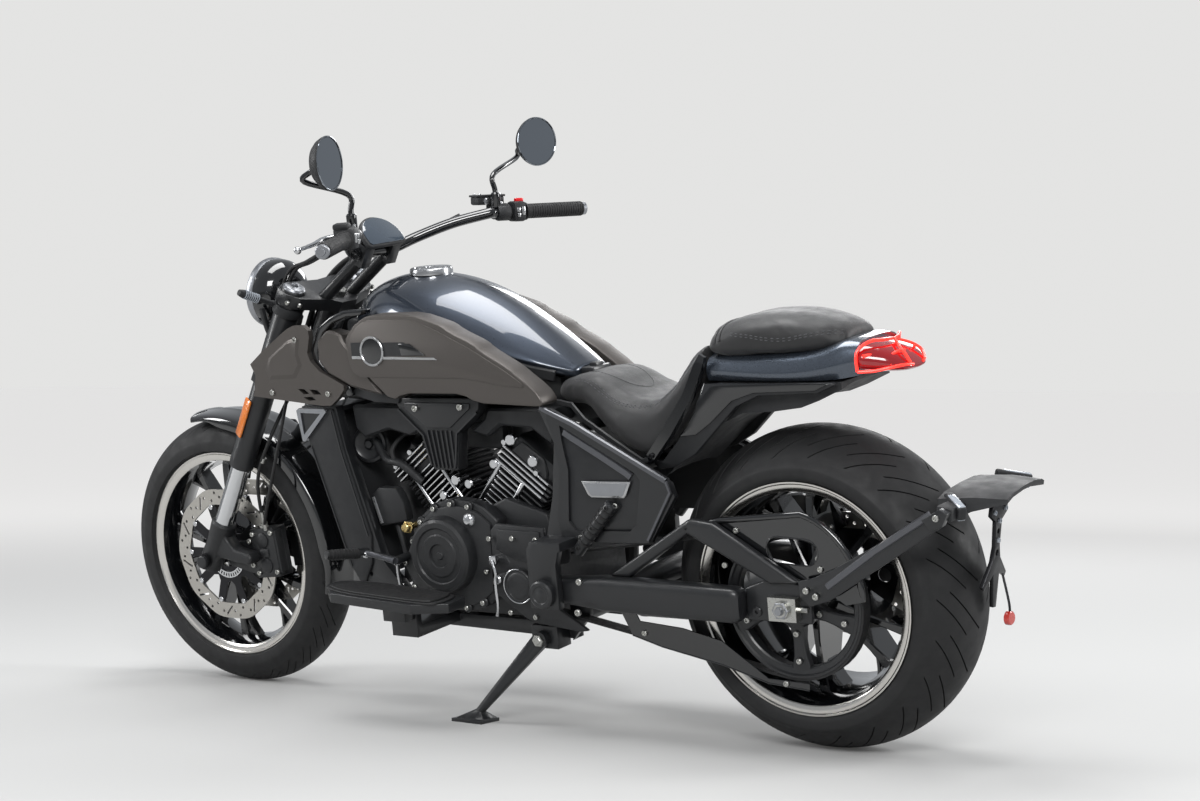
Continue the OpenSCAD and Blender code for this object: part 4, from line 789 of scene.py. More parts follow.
def tank_side_panels():
    """Side panels with a broad chamfer, a sunk band, a bright stripe and a blank round badge."""
    sides_plate("tank_side_panels", eased(PANEL, 16.0), 128, 184, "matt_grey_lacquer", bevel=8,
                segments=3, stands_for=("tank_panels",))
    upper = [(1030, 838), (1008, 868), (976, 889), (852, 889), (794, 870), (690, 822), (600, 772), (560, 744),
             (620, 748), (720, 764), (1016, 766), (1034, 806)]
    sides_plate("panel_upper_face", eased(upper), 183, 186, "matt_grey_lacquer", bevel=2.6)
    sides_plate("panel_dark_band", [(1019, 841), (872, 841), (826, 812), (1019, 812)], 186, 186.8,
                "moulded_grain", bevel=0.3, segments=1, sharp=32)
    sides_plate("panel_stripe", [(1019, 812), (1019, 805.5), (786, 803), (794, 808)], 186, 187.4,
                "silver_trim", bevel=0.5, segments=1, sharp=32)
    sides_plate("panel_fin", [(886, 838), (856, 838), (816, 813), (880, 813)], 186.6, 188.6,
                "gloss_black_lacquer", bevel=1.0, sharp=32)
    ring, disc = bmesh.new(), bmesh.new()
    for s in (1, -1):
        at = facing((961, s * 186, 822), (0, s, 0))
        lathe(ring, [(27.5, 0), (32.5, 0), (32.5, 2.6), (31.2, 4), (29, 4), (27.5, 2.6), (27.5, 0)], at, 48)
        lathe(disc, [(0, 2.8), (20, 2.9), (27, 2.2), (27.6, 0), (0, 0)], at, 48)
    piece("badge_rim", ring, "silver_trim")
    piece("blank_badge_disc", disc, "gloss_black_lacquer")


SHROUD = [(1336, 792), (1291, 824), (1215, 870), (1196, 877), (1166, 877), (1152, 866), (1151, 852),
          (1161, 817), (1156, 800), (1132, 777), (1066, 746), (1066, 736), (1086, 716), (1108, 701),
          (1132, 700), (1336, 720), (1330, 738), (1324, 768)]


def head_shrouds():
    """Shrouds beside the steering head: crowned plates with three slots, and black band behind."""
    slots = [[(1200, 737), (1184, 725), (1168, 727), (1182, 737)],
             [(1166, 736), (1144, 735), (1132, 725), (1156, 725)],
             [(1187, 719), (1170, 711), (1150, 713), (1160, 720)]]
    sides_plate("shroud_outer", SHROUD, 158, 171, "matt_grey_lacquer", holes=slots, bevel=0,
                stands_for=("head_shrouds",))
    crown = [(1300, 776), (1284, 806), (1213, 850), (1185, 856), (1176, 850), (1184, 816), (1176, 788),
             (1200, 756), (1290, 752)]
    shape = bmesh.new()
    for s in (1, -1):
        sweep(shape, [[(x, s * 169, z) for x, z in crown],
                      [(x, s * 174.5, z) for x, z in shrunk(crown, 0.72)]])
    piece("shroud_crown", shape, "matt_grey_lacquer", sharp=20)
    sides_plate("shroud_lining", shrunk(SHROUD, 0.97), 155.6, 158.5, "moulded_grain", bevel=0, sharp=32)
    shape = bmesh.new()
    for s in (1, -1):
        for x, z in ((1193, 846), (1277, 729), (1112, 727)):
            bolt(shape, (x, s * 171, z), (0, s, 0), 6.5, 4)
    piece("shroud_screws", shape, "plated_steel")
    band = [(998, 908), (1057, 907), (1098, 893), (1133, 872), (1160, 824), (1154, 792), (1126, 758),
            (1066, 718), (1052, 722), (1060, 744), (1112, 768), (1136, 796), (1142, 822), (1120, 858),
            (1090, 880), (1050, 892), (1004, 896)]
    sides_plate("head_band", band, 128, 160, "gloss_black_lacquer", bevel=5, segments=3)
    facet = [(1134, 842), (1136, 800), (1110, 770), (1050, 742), (985, 728), (962, 724), (1010, 786),
             (1060, 842), (1066, 858), (1102, 866)]
    sides_plate("head_side_panel", facet, 124, 168, "matt_grey_lacquer", bevel=5, segments=1)
    under = [(1062, 722), (1000, 706), (935, 703), (930, 716), (966, 724), (1050, 742)]
    sides_plate("head_side_lining", under, 122, 150, "moulded_grain")


def shrunk(outline, share):
    """An outline drawn towards its middle."""
    mx = sum(x for x, _ in outline) / len(outline)
    mz = sum(z for _, z in outline) / len(outline)
    return [(mx + (x - mx) * share, mz + (z - mz) * share) for x, z in outline]


def frame_covers():
    """Down-tube panels, blank triangle plates, seat spars with their recess, blank spar plates."""
    softened("down_frame", "satin_powder_coat", 4)
    panel = [(1216, 690), (1124, 690), (1106, 602), (1050, 408), (1056, 348), (1084, 296), (1092, 300),
             (1118, 336), (1202, 612)]
    sides_plate("down_tube_panels", panel, 144, 152, "moulded_grain", bevel=5)
    edge = bmesh.new()
    for s in (1, -1):
        strip(edge, [(1128, s * 152, 684), (1112, s * 152, 600), (1058, s * 152, 408)], 5, 2.4, s)
        strip(edge, [(1196, s * 152, 606), (1114, s * 152, 338)], 4, 2.0, s)
    piece("down_tube_edges", edge, "satin_powder_coat")
    outer = [(1226, 686), (1219, 691), (1144, 690), (1138, 684), (1209, 617), (1216, 618)]
    inner = [(1214, 681), (1156, 680), (1210, 632)]
    sides_plate("triangle_rim", outer, 146, 157, "cast_alloy", holes=[inner], bevel=0)
    sides_plate("blank_triangle_plate", shrunk(outer, 0.9), 146, 153.5, "satin_powder_coat", bevel=0)
    softened("side_plates", "satin_powder_coat", 3)
    spar = [(532, 704), (514, 700), (462, 676), (248, 566), (239, 538), (304, 434), (462, 430), (514, 440),
            (520, 470), (506, 574), (514, 636)]
    window = [(496, 668), (392, 612), (322, 574), (312, 560), (330, 470), (346, 456), (480, 452), (494, 470),
              (484, 576), (494, 636)]
    sides_plate("seat_spar_covers", spar, 168, 176, "satin_powder_coat", holes=[window], bevel=0)
    # raised strips along the spar covers' edges in the mid grey finish: painted highlight along the edges
    rail = bmesh.new()
    for s in (1, -1):
        strip(rail, [(540, s * 174, 703), (462, s * 176, 671), (251, s * 176, 561)], 11, 5, s)
        strip(rail, [(251, s * 176, 561), (243, s * 176, 538), (304, s * 176, 440)], 7, 4, s)
    piece("seat_spar_edges", rail, "dark_alloy_and_edge_highlight")
    # a mid grey strip along the recess's upper edge: painted highlight where the bevel catches the light
    glint = bmesh.new()
    for s in (1, -1):
        strip(glint, [(488, s * 171, 654), (470, s * 172, 644), (400, s * 172, 606), (344, s * 172, 574),
                      (334, s * 171, 566)], 17, 6, s)
    piece("spar_recess_painted_highlight", glint, "dark_alloy_and_edge_highlight")
    sides_plate("blank_spar_plate", [(452, 556), (332, 558), (346, 530), (352, 524), (430, 523),
                                     (438, 528)], 176, 180, "silver_trim", bevel=1.4)
    sides_plate("spar_plate_field", [(446, 552), (340, 554), (352, 531), (356, 528), (428, 527),
                                     (433, 531)], 179.4, 180.8, "cast_alloy", bevel=0.5, segments=1)


def surface_finder(made):
    """Finds where a ray meets a finished piece, in upright millimetres."""
    scene = bpy.context.evaluated_depsgraph_get()
    tree = BVHTree.FromObject(made, scene)
    back = UPRIGHT.inverted()

    def find(spot, direction):
        start = UPRIGHT @ Vector(spot)
        way = (UPRIGHT.to_3x3() @ Vector(direction)).normalized()
        hit, normal, _, _ = tree.ray_cast(start, way)
        return None if hit is None else (back @ hit, (back.to_3x3() @ normal).normalized())
    return find


def stitched(shape, find, path, direction, thick):
    """Short stitches laid along a path where it meets a cushion."""
    pitch = bpy.context.scene.cruiser_sizes.stitch * 1000.0
    pts = smooth_path(path, 12)
    run = 0.0
    for a, b in zip(pts, pts[1:]):
        run += (b - a).length
        if run < pitch:
            continue
        run = 0.0
        step = (b - a).normalized() * (pitch * 0.32)
        ends = [find(a - step, direction), find(a + step, direction)]
        if all(ends):
            spots = [hit + normal * (thick * 0.5 - 0.3) for hit, normal in ends]
            mid = (spots[0] + spots[1]) / 2 + ends[0][1] * 0.5
            tube(shape, [spots[0], mid, spots[1]], [thick * 0.5, thick, thick * 0.5], 6)


def piping(shape, find, path, direction, radius, proud=0.0):
    """A piping cord laid along a path where it meets a cushion."""
    spots = []
    for spot in smooth_path(path, 8):
        hit = find(spot, direction)
        if hit:
            spots.append(hit[0] + hit[1] * proud)
    if len(spots) > 3:
        tube(shape, spots, radius, 8)


def stuffed(name, rings, node, cap_mm):
    """A cushion blown up by a cloth simulation from a slightly smaller closed shape."""
    shape = bmesh.new()
    sweep(shape, rings)
    bmesh.ops.subdivide_edges(shape, edges=list(shape.edges), cuts=3, use_grid_fill=True, smooth=0.6)
    made = piece(name, shape, "grained_vinyl", sharp=60, stands_for=(node,))
    grid = made.modifiers.new("even_mesh", "REMESH")
    grid.mode = "VOXEL"
    grid.voxel_size = 0.006
    scene = bpy.context.scene
    bake(made)
    before = [v.co.copy() for v in made.data.vertices]
    cloth = made.modifiers.new("cloth", "CLOTH")
    cloth.settings.use_pressure = True
    cloth.settings.uniform_pressure_force = 4.0
    cloth.settings.effector_weights.gravity = 0.0
    cloth.settings.tension_stiffness = 25.0
    cloth.settings.bending_stiffness = 2.0
    cloth.point_cache.frame_start, cloth.point_cache.frame_end = 1, 20
    for step in range(1, 21):
        scene.frame_set(step)
    bake(made)
    scene.frame_set(1)
    for vert, old in zip(made.data.vertices, before):
        move = vert.co - old
        if move.length > cap_mm / 1000.0:
            vert.co = old + move.normalized() * (cap_mm / 1000.0)
    ease = made.modifiers.new("ease", "SMOOTH")
    ease.iterations = 4
    ease.factor = 0.5
    bake(made)
    rounding = made.modifiers.new("rounding", "SUBSURF")
    rounding.levels = rounding.render_levels = 1
    made.data.polygons.foreach_set("use_smooth", [True] * len(made.data.polygons))
    return made


def bake(made):
    """Puts a piece's modifiers into its mesh."""
    scene = bpy.context.evaluated_depsgraph_get()
    scene.update()
    mesh = bpy.data.meshes.new_from_object(made.evaluated_get(scene))
    made.modifiers.clear()
    old = made.data
    made.data = mesh
    bpy.data.meshes.remove(old)


def rider_seat():
    """The bucket seat: a stuffed vinyl cushion with a stitched panel and a stitched oval."""
    rows = [  # x, half width, low, edge height, top
        (574, 50, 706, 720, 726), (556, 76, 704, 734, 741), (528, 94, 704, 739, 747),
        (480, 112, 702, 742, 752), (440, 125, 672, 722, 742), (400, 136, 644, 700, 720),
        (352, 146, 618, 690, 703), (304, 145, 606, 690, 704), (268, 135, 634, 718, 728),
        (242, 124, 668, 752, 760), (216, 115, 706, 790, 797), (190, 110, 766, 818, 824)]
    rings = []
    for x, w, low, side, top in rows:
        rings.append(mirrored_ring(x, [
            (0, top), (w * 0.45, top - 1), (w * 0.78, top - (top - side) * 0.4), (w * 0.95, side - 4),
            (w, side - (side - low) * 0.35), (w * 0.99, low + (side - low) * 0.2), (w * 0.93, low),
            (w * 0.5, low), (0, low)]))
    seat = stuffed("rider_seat_cushion", rings, "rider_seat", 7)
    find = surface_finder(seat)
    thread = bmesh.new()
    edge = [(566, 48), (552, 66), (520, 84), (470, 99), (410, 112), (350, 118), (300, 114), (260, 104),
            (230, 96), (205, 92)]
    for s in (1, -1):
        for step in (0, 5.5):
            stitched(thread, find, [(x, s * (y - step), 900) for x, y in edge], (0, 0, -1), 0.8)
    oval = [(455 + 72 * math.cos(math.tau * k / 20), 52 * math.sin(math.tau * k / 20), 900)
            for k in range(21)]
    stitched(thread, find, oval, (0, 0, -1), 0.8)
    piece("rider_seat_thread", thread, "seat_thread")
    seams = bmesh.new()
    for s in (1, -1):
        piping(seams, find, [(x, s * (y - 2.7), 900) for x, y in edge], (0, 0, -1), 1.5, -1.2)
    piping(seams, find, oval, (0, 0, -1), 2.0, -1.4)
    piece("rider_seat_seams", seams, "grained_vinyl")
    skirt = bmesh.new()
    for s in (1, -1):
        strip(skirt, [(556, s * 96, 702), (500, s * 120, 700), (462, s * 135, 672), (400, s * 146, 640),
                      (345, s * 152, 610), (318, s * 150, 594), (300, s * 146, 600)], 12, 4, s)
    piece("seat_skirt_trim", skirt, "moulded_grain")


def pillion_seat():
    """The passenger's pad with a piped front band, wavy stitching and a lock knob."""
    rows = [  # x, half width, low, edge height, top
        (184, 92, 802, 818, 828), (158, 112, 802, 832, 848), (120, 120, 803, 842, 862),
        (60, 116, 804, 846, 868), (0, 106, 804, 845, 866), (-52, 92, 805, 838, 856),
        (-92, 74, 808, 830, 845), (-112, 60, 812, 826, 836)]
    rings = []
    for x, w, low, side, top in rows:
        rings.append(mirrored_ring(x, [
            (0, top), (w * 0.5, top - 1.5), (w * 0.84, side + (top - side) * 0.3), (w * 0.98, side - 8),
            (w, low + (side - low) * 0.4), (w * 0.95, low), (w * 0.5, low), (0, low)]))
    seat = stuffed("pillion_cushion", rings, "pillion_seat", 5)
    find = surface_finder(seat)
    thread, seams = bmesh.new(), bmesh.new()
    for s in (1, -1):
        wave = [(120, 950, 838), (80, 950, 834), (40, 950, 827), (5, 950, 825), (-30, 950, 830),
                (-70, 950, 834), (-102, 950, 832)]
        for step in (0, 5):
            stitched(thread, find, [(x, s * 300, z + step) for x, _, z in wave], (0, -s, 0), 0.8)
        piping(seams, find, [(x, s * 300, z + 2.5) for x, _, z in wave], (0, -s, 0), 1.4, -1.1)
    front = [(150 + 14 * math.cos(t), 118 * math.sin(t)) for t in
             [math.radians(a) for a in range(-86, 87, 8)]]
    for step in (0, -12):
        piping(seams, find, [(x + step, y, 950) for x, y in front], (0, 0, -1), 3.2, 0.4)
    stitched(thread, find, [(x - 6, y, 950) for x, y in front], (0, 0, -1), 0.8)
    piece("pillion_thread", thread, "seat_thread")
    piece("pillion_seams", seams, "grained_vinyl")
    knob = bmesh.new()
    for s in (1, -1):
        lathe(knob, [(0, 5), (5, 5), (7, 3.4), (7.4, 0), (4, -2), (4, -10), (0, -10)],
              facing((-112, s * 62, 812), (-0.2, s, 0.6)), 20)
    piece("pillion_knobs", knob, "machined_alloy")


def tail():
    """The tail cowl, the lamp with its light pipe, the strut trims and the inner mudguard."""
    rings = []
    for x, w, low, mid, top in ((180, 108, 748, 770, 800), (140, 112, 748, 768, 804),
                                (60, 118, 748, 764, 803), (0, 119, 748, 764, 803),
                                (-50, 116, 748, 768, 806), (-90, 109, 750, 774, 818),
                                (-112, 102, 752, 778, 828), (-140, 92, 756, 784, 822)):
        rings.append(mirrored_ring(x, [
            (0, top), (w * 0.5, top - 1), (w * 0.82, top - 5), (w * 0.95, mid + (top - mid) * 0.55),
            (w, mid), (w * 0.985, mid - 10), (w * 0.93, low), (w * 0.4, low), (0, low)]))
    loft("tail_cowl_shell", rings, "tail_alloy_lacquer", {4: 0.3, 6: 1.0, 10: 1.0, 12: 0.3}, 1.0,
         ("tail_cowl",))
    lens = []
    for x, w, low, top in ((-139, 92, 757, 817), (-160, 84, 756, 812), (-184, 74, 755, 804),
                           (-204, 60, 755, 792), (-218, 44, 757, 778), (-222, 30, 760, 770)):
        half = (top - low) / 2
        lens.append(mirrored_ring(x, [(0, top), (w * 0.5, top - 2), (w * 0.84, top - half * 0.3),
                                      (w, low + half), (w * 0.92, low + half * 0.3), (w * 0.5, low + 1),
                                      (0, low)]))
    loft("tail_lamp_lens", lens, "red_acrylic", {}, 0.9, ("tail_lamp",))
    pipe = bmesh.new()
    for s in (1, -1):
        outer = [(-142, s * 93, 764), (-141, s * 89, 800), (-156, s * 62, 817), (-170, s * 30, 816),
                 (-176, 0, 814)]
        lower = [(-142, s * 93, 764), (-170, s * 80, 764), (-196, s * 66, 768), (-214, s * 44, 770),
                 (-222, s * 20, 768)]
        rear = [(-176, 0, 814), (-198, s * 24, 802), (-214, s * 34, 788), (-221, s * 30, 772)]
        for path in (outer, lower, rear):
            tube(pipe, path, 3.0, 8, 6)
        tube(pipe, [(-150, s * 84, 792), (-172, s * 62, 792), (-186, s * 56, 784), (-196, s * 60, 772)],
             3.4, 8, 6)
        tube(pipe, [(-186, s * 56, 784), (-198, s * 40, 794), (-206, s * 20, 796)], 3.0, 8, 6)
    piece("tail_light_pipe", pipe, "red_light_pipe")
    trim = [(184, 744), (212, 682), (244, 640), (290, 590), (318, 594), (314, 588), (300, 572), (262, 578),
            (214, 604), (176, 640), (112, 700), (60, 722), (-70, 728), (-108, 744), (-100, 747)]
    low = [(178, 746), (205, 690), (236, 650), (246, 640), (206, 644), (170, 668), (118, 712), (68, 728),
           (-66, 733), (-96, 746)]
    sides_plate("tail_side_covers", trim, 104, 122, "moulded_grain", bevel=3, stands_for=("tail_sides",))
    sides_plate("tail_side_facets", low, 121, 125.5, "gloss_black_lacquer", bevel=2.2)
    strut = bmesh.new()
    for s in (1, -1):
        sweep(strut, [[(x + a, s * (y + b), z + c) for a, b, c in (
            (-12 * k, -3, -7 * k), (-9 * k, 5, -5 * k), (9 * k, 5, 5 * k), (12 * k, -3, 7 * k))]
            for x, y, z, k in ((180, 116, 800, 0.6), (190, 121, 776, 1.0), (214, 128, 722, 1.0),
                               (262, 140, 650, 1.05), (300, 146, 602, 0.95), (306, 146, 592, 0.6))])
    piece("strut_trims", strut, "gloss_black_lacquer", sharp=20)
    bolts("strut_screws", [(296, 151, 606)], 5.5, finish="black_oxide")
    bolts("strut_screws_right", [(296, -151, 606)], 5.5, finish="black_oxide", direction=(0, -1, 0))
    rings = []
    for x, low, high in ((-110, 738, 746), (-60, 716, 746), (-20, 702, 746), (40, 694, 746),
                         (110, 690, 746), (160, 668, 745), (210, 638, 690), (246, 606, 640),
                         (276, 580, 594), (300, 560, 588)):
        rings.append([(x, -99, low - 6), (x, -99, high), (x, 99, high), (x, 99, low - 6), (x, 60, low),
                      (x, 0, low + 2), (x, -60, low)])
    shape = bmesh.new()
    sweep(shape, rings)
    piece("inner_mudguard", shape, "moulded_grain", sharp=40, stands_for=("rear_mudguard",))
    paint_node("backbone", "satin_powder_coat")


# ---------- engine ----------

CRANK = (793, 0, 370)


def bore_place(s):
    """A cylinder's own frame: Z runs out along its bore; s is 1 for the front one."""
    return Matrix.Translation(CRANK) @ Matrix.Rotation(s * math.radians(37), 4, "Y")


def cylinder(name, node, s, barrel, head, window, bars, caps):
    """A finned cylinder with bright fin edges, tube covers and capped head screws."""
    place = bore_place(s)
    shape, edges, bright = bmesh.new(), bmesh.new(), bmesh.new()
    box(shape, (-55, -62, 92), (55, 62, 236), 6, place)
    for z in barrel:
        box(shape, (-69, -86, z), (69, 86, z + 5), 1.6, place, 1)
        for side in (1, -1):
            y = sided(side, 85.2, 87.4)
            box(edges, (window[0], y[0], z + 0.6), (window[1], y[1], z + 4.4), 0.8, place, 1)
    for z in head:
        box(shape, (-76, -92, z), (76, 92, z + 6), 2, place, 1)
        for side in (1, -1):
            y = sided(side, 90.6, 93)
            box(edges, (-62 if s < 0 else -34, y[0], z + 0.8), (76, y[1], z + 5.2), 1.0, place, 1)
        box(edges, (74.6, -84, z + 0.8), (76.8, 84, z + 5.2), 0.8, place, 1)
    low, top = head[-1] + 5, 281
    box(shape, (-66, -84, 218), (66, 84, top), 16, place, 2)
    for side in (1, -1):
        plate(shape, [(-52, low), (56, low), (44, top - 8), (-20, top - 4), (-46, top - 22)],
              *sided(side, 80, 89), bevel=3, segments=1, place=place)
    for x, z0, z1, r in bars:
        for side in (1, -1):
            tube(bright, [place @ Vector((x, side * 84, z0)), place @ Vector((x, side * 86, z0 + 4)),
                          place @ Vector((x, side * 86, z1 - 4)), place @ Vector((x, side * 84, z1))], r, 12)
    for x, z, r in caps:
        for side in (1, -1):
            lathe(bright, [(0, 8), (r * 0.8, 7.6), (r * 0.96, 6.2), (r, 4), (r, -6)],
                  place @ facing((x, side * 88, z), (0, side, 0)), 20)
    piece(name, shape, "crackle_enamel", sharp=28, stands_for=(node,))
    piece(name + "_fin_edges", edges, "machined_alloy")
    piece(name + "_caps", bright, "machined_alloy")


def both_cylinders():
    """The two cylinders of the V-twin, each with its own fins and caps."""
    cylinder("front_cylinder_fins", "front_cylinder", 1, range(104, 236, 12), (242, 254, 266),
             (-30, 34), [(-37, 100, 204, 6), (41, 100, 236, 5)],
             [(-2, 152, 10), (8, 276, 7), (62, 276, 7)])
    cylinder("rear_cylinder_fins", "rear_cylinder", -1, range(102, 196, 13), (200, 212, 224, 236),
             (-2, 58), [(-6, 92, 198, 6.5), (64, 92, 200, 6.5)],
             [(66, 262, 13), (-4, 258, 13), (76, 248, 7), (-24, 243, 7), (74, 190, 11)])
    plugs = bmesh.new()
    for x, z, r in ((838, 530, 12), (803, 523, 11), (1000, 560, 9)):
        for side in (1, -1):
            lathe(plugs, [(0, 9), (r * 0.8, 8.6), (r, 6), (r, -3), (r * 0.7, -5), (r * 0.7, -30)],
                  facing((x, side * 96, z), (0, side, 0)), 20)
    piece("valley_caps", plugs, "machined_alloy")
    leads = bmesh.new()
    for side in (1, -1):
        tube(leads, [(1000, side * 100, 560), (1012, side * 96, 590), (996, side * 70, 620),
                     (950, side * 40, 640)], 5, 10, 6)
        tube(leads, [(690, side * 60, 590), (700, side * 70, 620), (720, side * 50, 650)], 5, 10, 6)
    piece("plug_leads", leads, "moulded_rubber")


CASE = [(700, 300), (735, 276), (766, 262), (845, 256), (905, 262), (938, 298), (958, 350), (954, 366),
        (930, 410), (902, 458), (860, 490), (808, 502), (760, 498), (726, 486), (692, 460)]
CASE_SCREWS = [(855, 480), (808, 492), (762, 488), (894, 450), (920, 406), (946, 358), (928, 306),
               (880, 270), (840, 266), (790, 268), (745, 282)]


def crankcase():
    """The crankcase block, its left and right covers with turned rings, and their screws."""
    softened("engine_block", "crackle_enamel", 5)
    shape = bmesh.new()
    plate(shape, CASE, 121, 158, bevel=7, segments=3)
    plate(shape, shrunk(CASE, 0.9), 156, 166, bevel=5, segments=2)
    at = facing((831, 158, 384), (0, 1, 0))
    lathe(shape, [(0, 33), (7, 33), (9, 30), (24, 30), (26, 34), (44, 34.5), (47, 32), (58, 32),
                  (61, 35), (72, 35), (78, 31), (81, 24), (83, 12), (84, 0), (0, 0)], at, 64)
    rear = [(688, 456), (566, 452), (564, 416), (506, 414), (510, 380), (566, 372), (566, 300),
            (560, 292), (474, 241), (496, 237), (600, 247), (630, 256), (706, 306), (706, 440)]
    plate(shape, rear, 158.6, 170, bevel=4, segments=2)
    rise = [(684, 446), (574, 444), (572, 380), (614, 378), (650, 384), (690, 400)]
    plate(shape, rise, 168, 175, bevel=4, segments=2)
    lathe(shape, [(0, 12), (22, 12.6), (27, 11.6), (29, 10), (33, 10), (35, 8), (36, 4), (36, -2)],
          facing((636, 171, 328), (0, 1, 0)), 40)
    for x, z in CASE_SCREWS:
        lathe(shape, [(0, 7), (9, 7), (11, 5), (11, -20)], facing((x, 158, z), (0, 1, 0)), 16)
    plate(shape, shrunk(CASE, 0.96), -156, -128.4, bevel=7, segments=3)
    lathe(shape, [(0, 23), (12, 23), (14, 20), (50, 21), (53, 24), (66, 25), (76, 22), (82, 14), (84, 0),
                  (0, 0)], facing((825, -156, 384), (0, -1, 0)), 64)
    piece("crankcase_covers", shape, "crackle_enamel", sharp=28, stands_for=("engine_covers",))
    # a bright arc laid over part of the small cover's rim: painted highlight where the rim catches the light
    ring = bmesh.new()
    at = Vector((636, 181, 328))
    tube(ring, [at + Vector((36 * math.cos(a), 0, 36 * math.sin(a))) for a in
                [math.radians(-140 + 12 * k) for k in range(21)]], 1.6, 8)
    piece("small_cover_painted_glint", ring, "machined_alloy")
    bolts("case_screws", [(x, 165, z) for x, z in CASE_SCREWS], 5.6)
    bolts("gear_cover_screws", [(703, 176, 425), (643, 176, 428), (583, 176, 428), (700, 171, 330),
                                (668, 171, 268), (604, 171, 262), (722, 171, 352)], 5.6)
    bolts("case_screws_right", [(x, -154, z) for x, z in shrunk(CASE_SCREWS, 0.94)], 5.6,
          direction=(0, -1, 0))
    cap = bmesh.new()
    lathe(cap, [(0, 13), (5, 13), (6, 10), (9, 10), (10.5, 8), (11, 4), (14, 3), (14, 0), (7, 0), (7, -40)],
          facing((934, 160, 436), (0, 1, 0)), 6)
    lathe(cap, [(0, 14), (8, 13.4), (10, 11), (10, -10)], facing((934, 160, 436), (0, 1, 0)), 32)
    piece("filler_cap", cap, "bright_brass")
    boss = bmesh.new()
    lathe(boss, [(0, 16), (10, 15), (14, 11), (16, 4), (16, -20)], facing((758, 160, 460), (0.1, 1, 0.2)), 28)
    lathe(boss, [(0, 9), (6, 9), (9, 6), (9, -30)], facing((695, 172, 380), (0, 1, 0)), 20)
    lathe(boss, [(0, 9), (6, 9), (9, 6), (9, -30)], facing((690, 172, 338), (0, 1, 0)), 20)
    tube(boss, [(695, 186, 380), (684, 190, 356), (690, 186, 336), (688, 188, 286), (696, 184, 262)],
         3.2, 10, 6)
    box(boss, (686, 176, 370), (704, 184, 390), 2)
    piece("selector_linkage", boss, "machined_alloy")
    side = bmesh.new()
    for s in (1, -1):
        plate(side, [(1066, 492), (1040, 512), (990, 512), (972, 480), (966, 440), (1046, 424)],
              *sided(s, 98, 124), bevel=5)
        tube(side, [(940, s * 90, 520), (985, s * 100, 560), (1030, s * 96, 570), (1072, s * 80, 610)],
             9, 12, 6)
        tube(side, [(1010, s * 104, 424), (990, s * 110, 360), (1000, s * 106, 300), (1030, s * 98, 270)],
             7, 12, 6)
    piece("front_electrics_box", side, "moulded_grain")
    stripe = bmesh.new()
    strip(stripe, [(1056, 124, 490), (1038, 124, 432)], 8, 2.4, 1)
    piece("box_stripe", stripe, "silver_trim")
    horn = bmesh.new()
    for s in (1, -1):
        at = facing((1086, s * 78, 600), (-0.25, s, 0.05))
        lathe(horn, [(0, 16), (8, 16), (10, 9), (14, 7), (30, 9), (34, 12), (40, 12), (42, 8), (42, 2),
                     (36, -4), (20, -18), (0, -18)], at, 40)
    piece("horns", horn, "satin_powder_coat")


def air_cover():
    """The V-shaped air cover with sloping ribs, two bright screws and dark facets beside it."""
    outline = [(945, 716), (719, 716), (722, 694), (734, 676), (780, 644), (792, 560), (858, 560),
               (880, 636), (934, 684), (943, 700)]
    sides_plate("air_cover_plate", outline, 112, 146, "crackle_enamel", bevel=4,
                stands_for=("air_cover",))
    field = [(922, 706), (742, 706), (744, 694), (800, 652), (862, 652), (918, 692)]
    sides_plate("air_cover_field", field, 144, 150, "satin_powder_coat", bevel=3)
    ribs = bmesh.new()
    for s in (1, -1):
        for k in range(6):
            x0, x1 = 800 + 12.6 * k, 797 + 10.6 * k
            strip(ribs, [(x0, s * 145, 646), (x1, s * 145, 566)], 5.5, 5.5, s)
        strip(ribs, [(938, s * 146, 690), (876, s * 146, 636), (860, s * 146, 570)], 6, 4, s)
        strip(ribs, [(726, s * 146, 686), (784, s * 146, 642), (796, s * 146, 570)], 6, 4, s)
    piece("air_cover_ribs", ribs, "satin_powder_coat")
    bolts("air_cover_screws", [(888, 150, 694), (766, 150, 698)], 7.5)
    bolts("air_cover_screws_right", [(888, -150, 694), (766, -150, 698)], 7.5, direction=(0, -1, 0))
    front = [(1100, 692), (950, 692), (900, 645), (940, 626), (1000, 640), (1070, 620), (1094, 640)]
    rear = [(718, 690), (560, 690), (536, 660), (560, 616), (610, 650), (690, 655), (724, 630), (770, 640),
            (730, 668)]
    sides_plate("airbox_front_facets", front, 96, 116, "moulded_grain", bevel=5, segments=1)
    sides_plate("airbox_rear_facets", rear, 96, 122, "moulded_grain", bevel=5, segments=1)
    middle = bmesh.new()
    box(middle, (560, -98, 655), (1096, 98, 690), 10)
    box(middle, (730, -60, 590), (856, 60, 660), 12)
    piece("airbox", middle, "moulded_grain")


def radiator():
    """The radiator between the front tubes, with its grid of fins and side tanks."""
    softened("radiator", "moulded_grain", 3)
    tilt = math.atan2(100, 350)
    place = Matrix.Translation((1135, 0, 491)) @ Matrix.Rotation(tilt, 4, "Y")
    fins = bmesh.new()
    for k in range(44):
        z = -160 + 7.4 * k
        box(fins, (-2, -100, z), (5.5, 100, z + 2.2), 0, place)
    for y in range(-100, 101, 20):
        box(fins, (-3, y - 1.5, -166), (4.5, y + 1.5, 166), 0, place)
    piece("radiator_fins", fins, "satin_powder_coat")
    frame_bars = bmesh.new()
    for y in (-108, 108):
        box(frame_bars, (-10, y - 8, -176), (9, y + 8, 176), 4, place)
    for z in (-172, 172):
        box(frame_bars, (-10, -108, z - 8), (9, 108, z + 8), 4, place)
    piece("radiator_tanks", frame_bars, "satin_powder_coat")


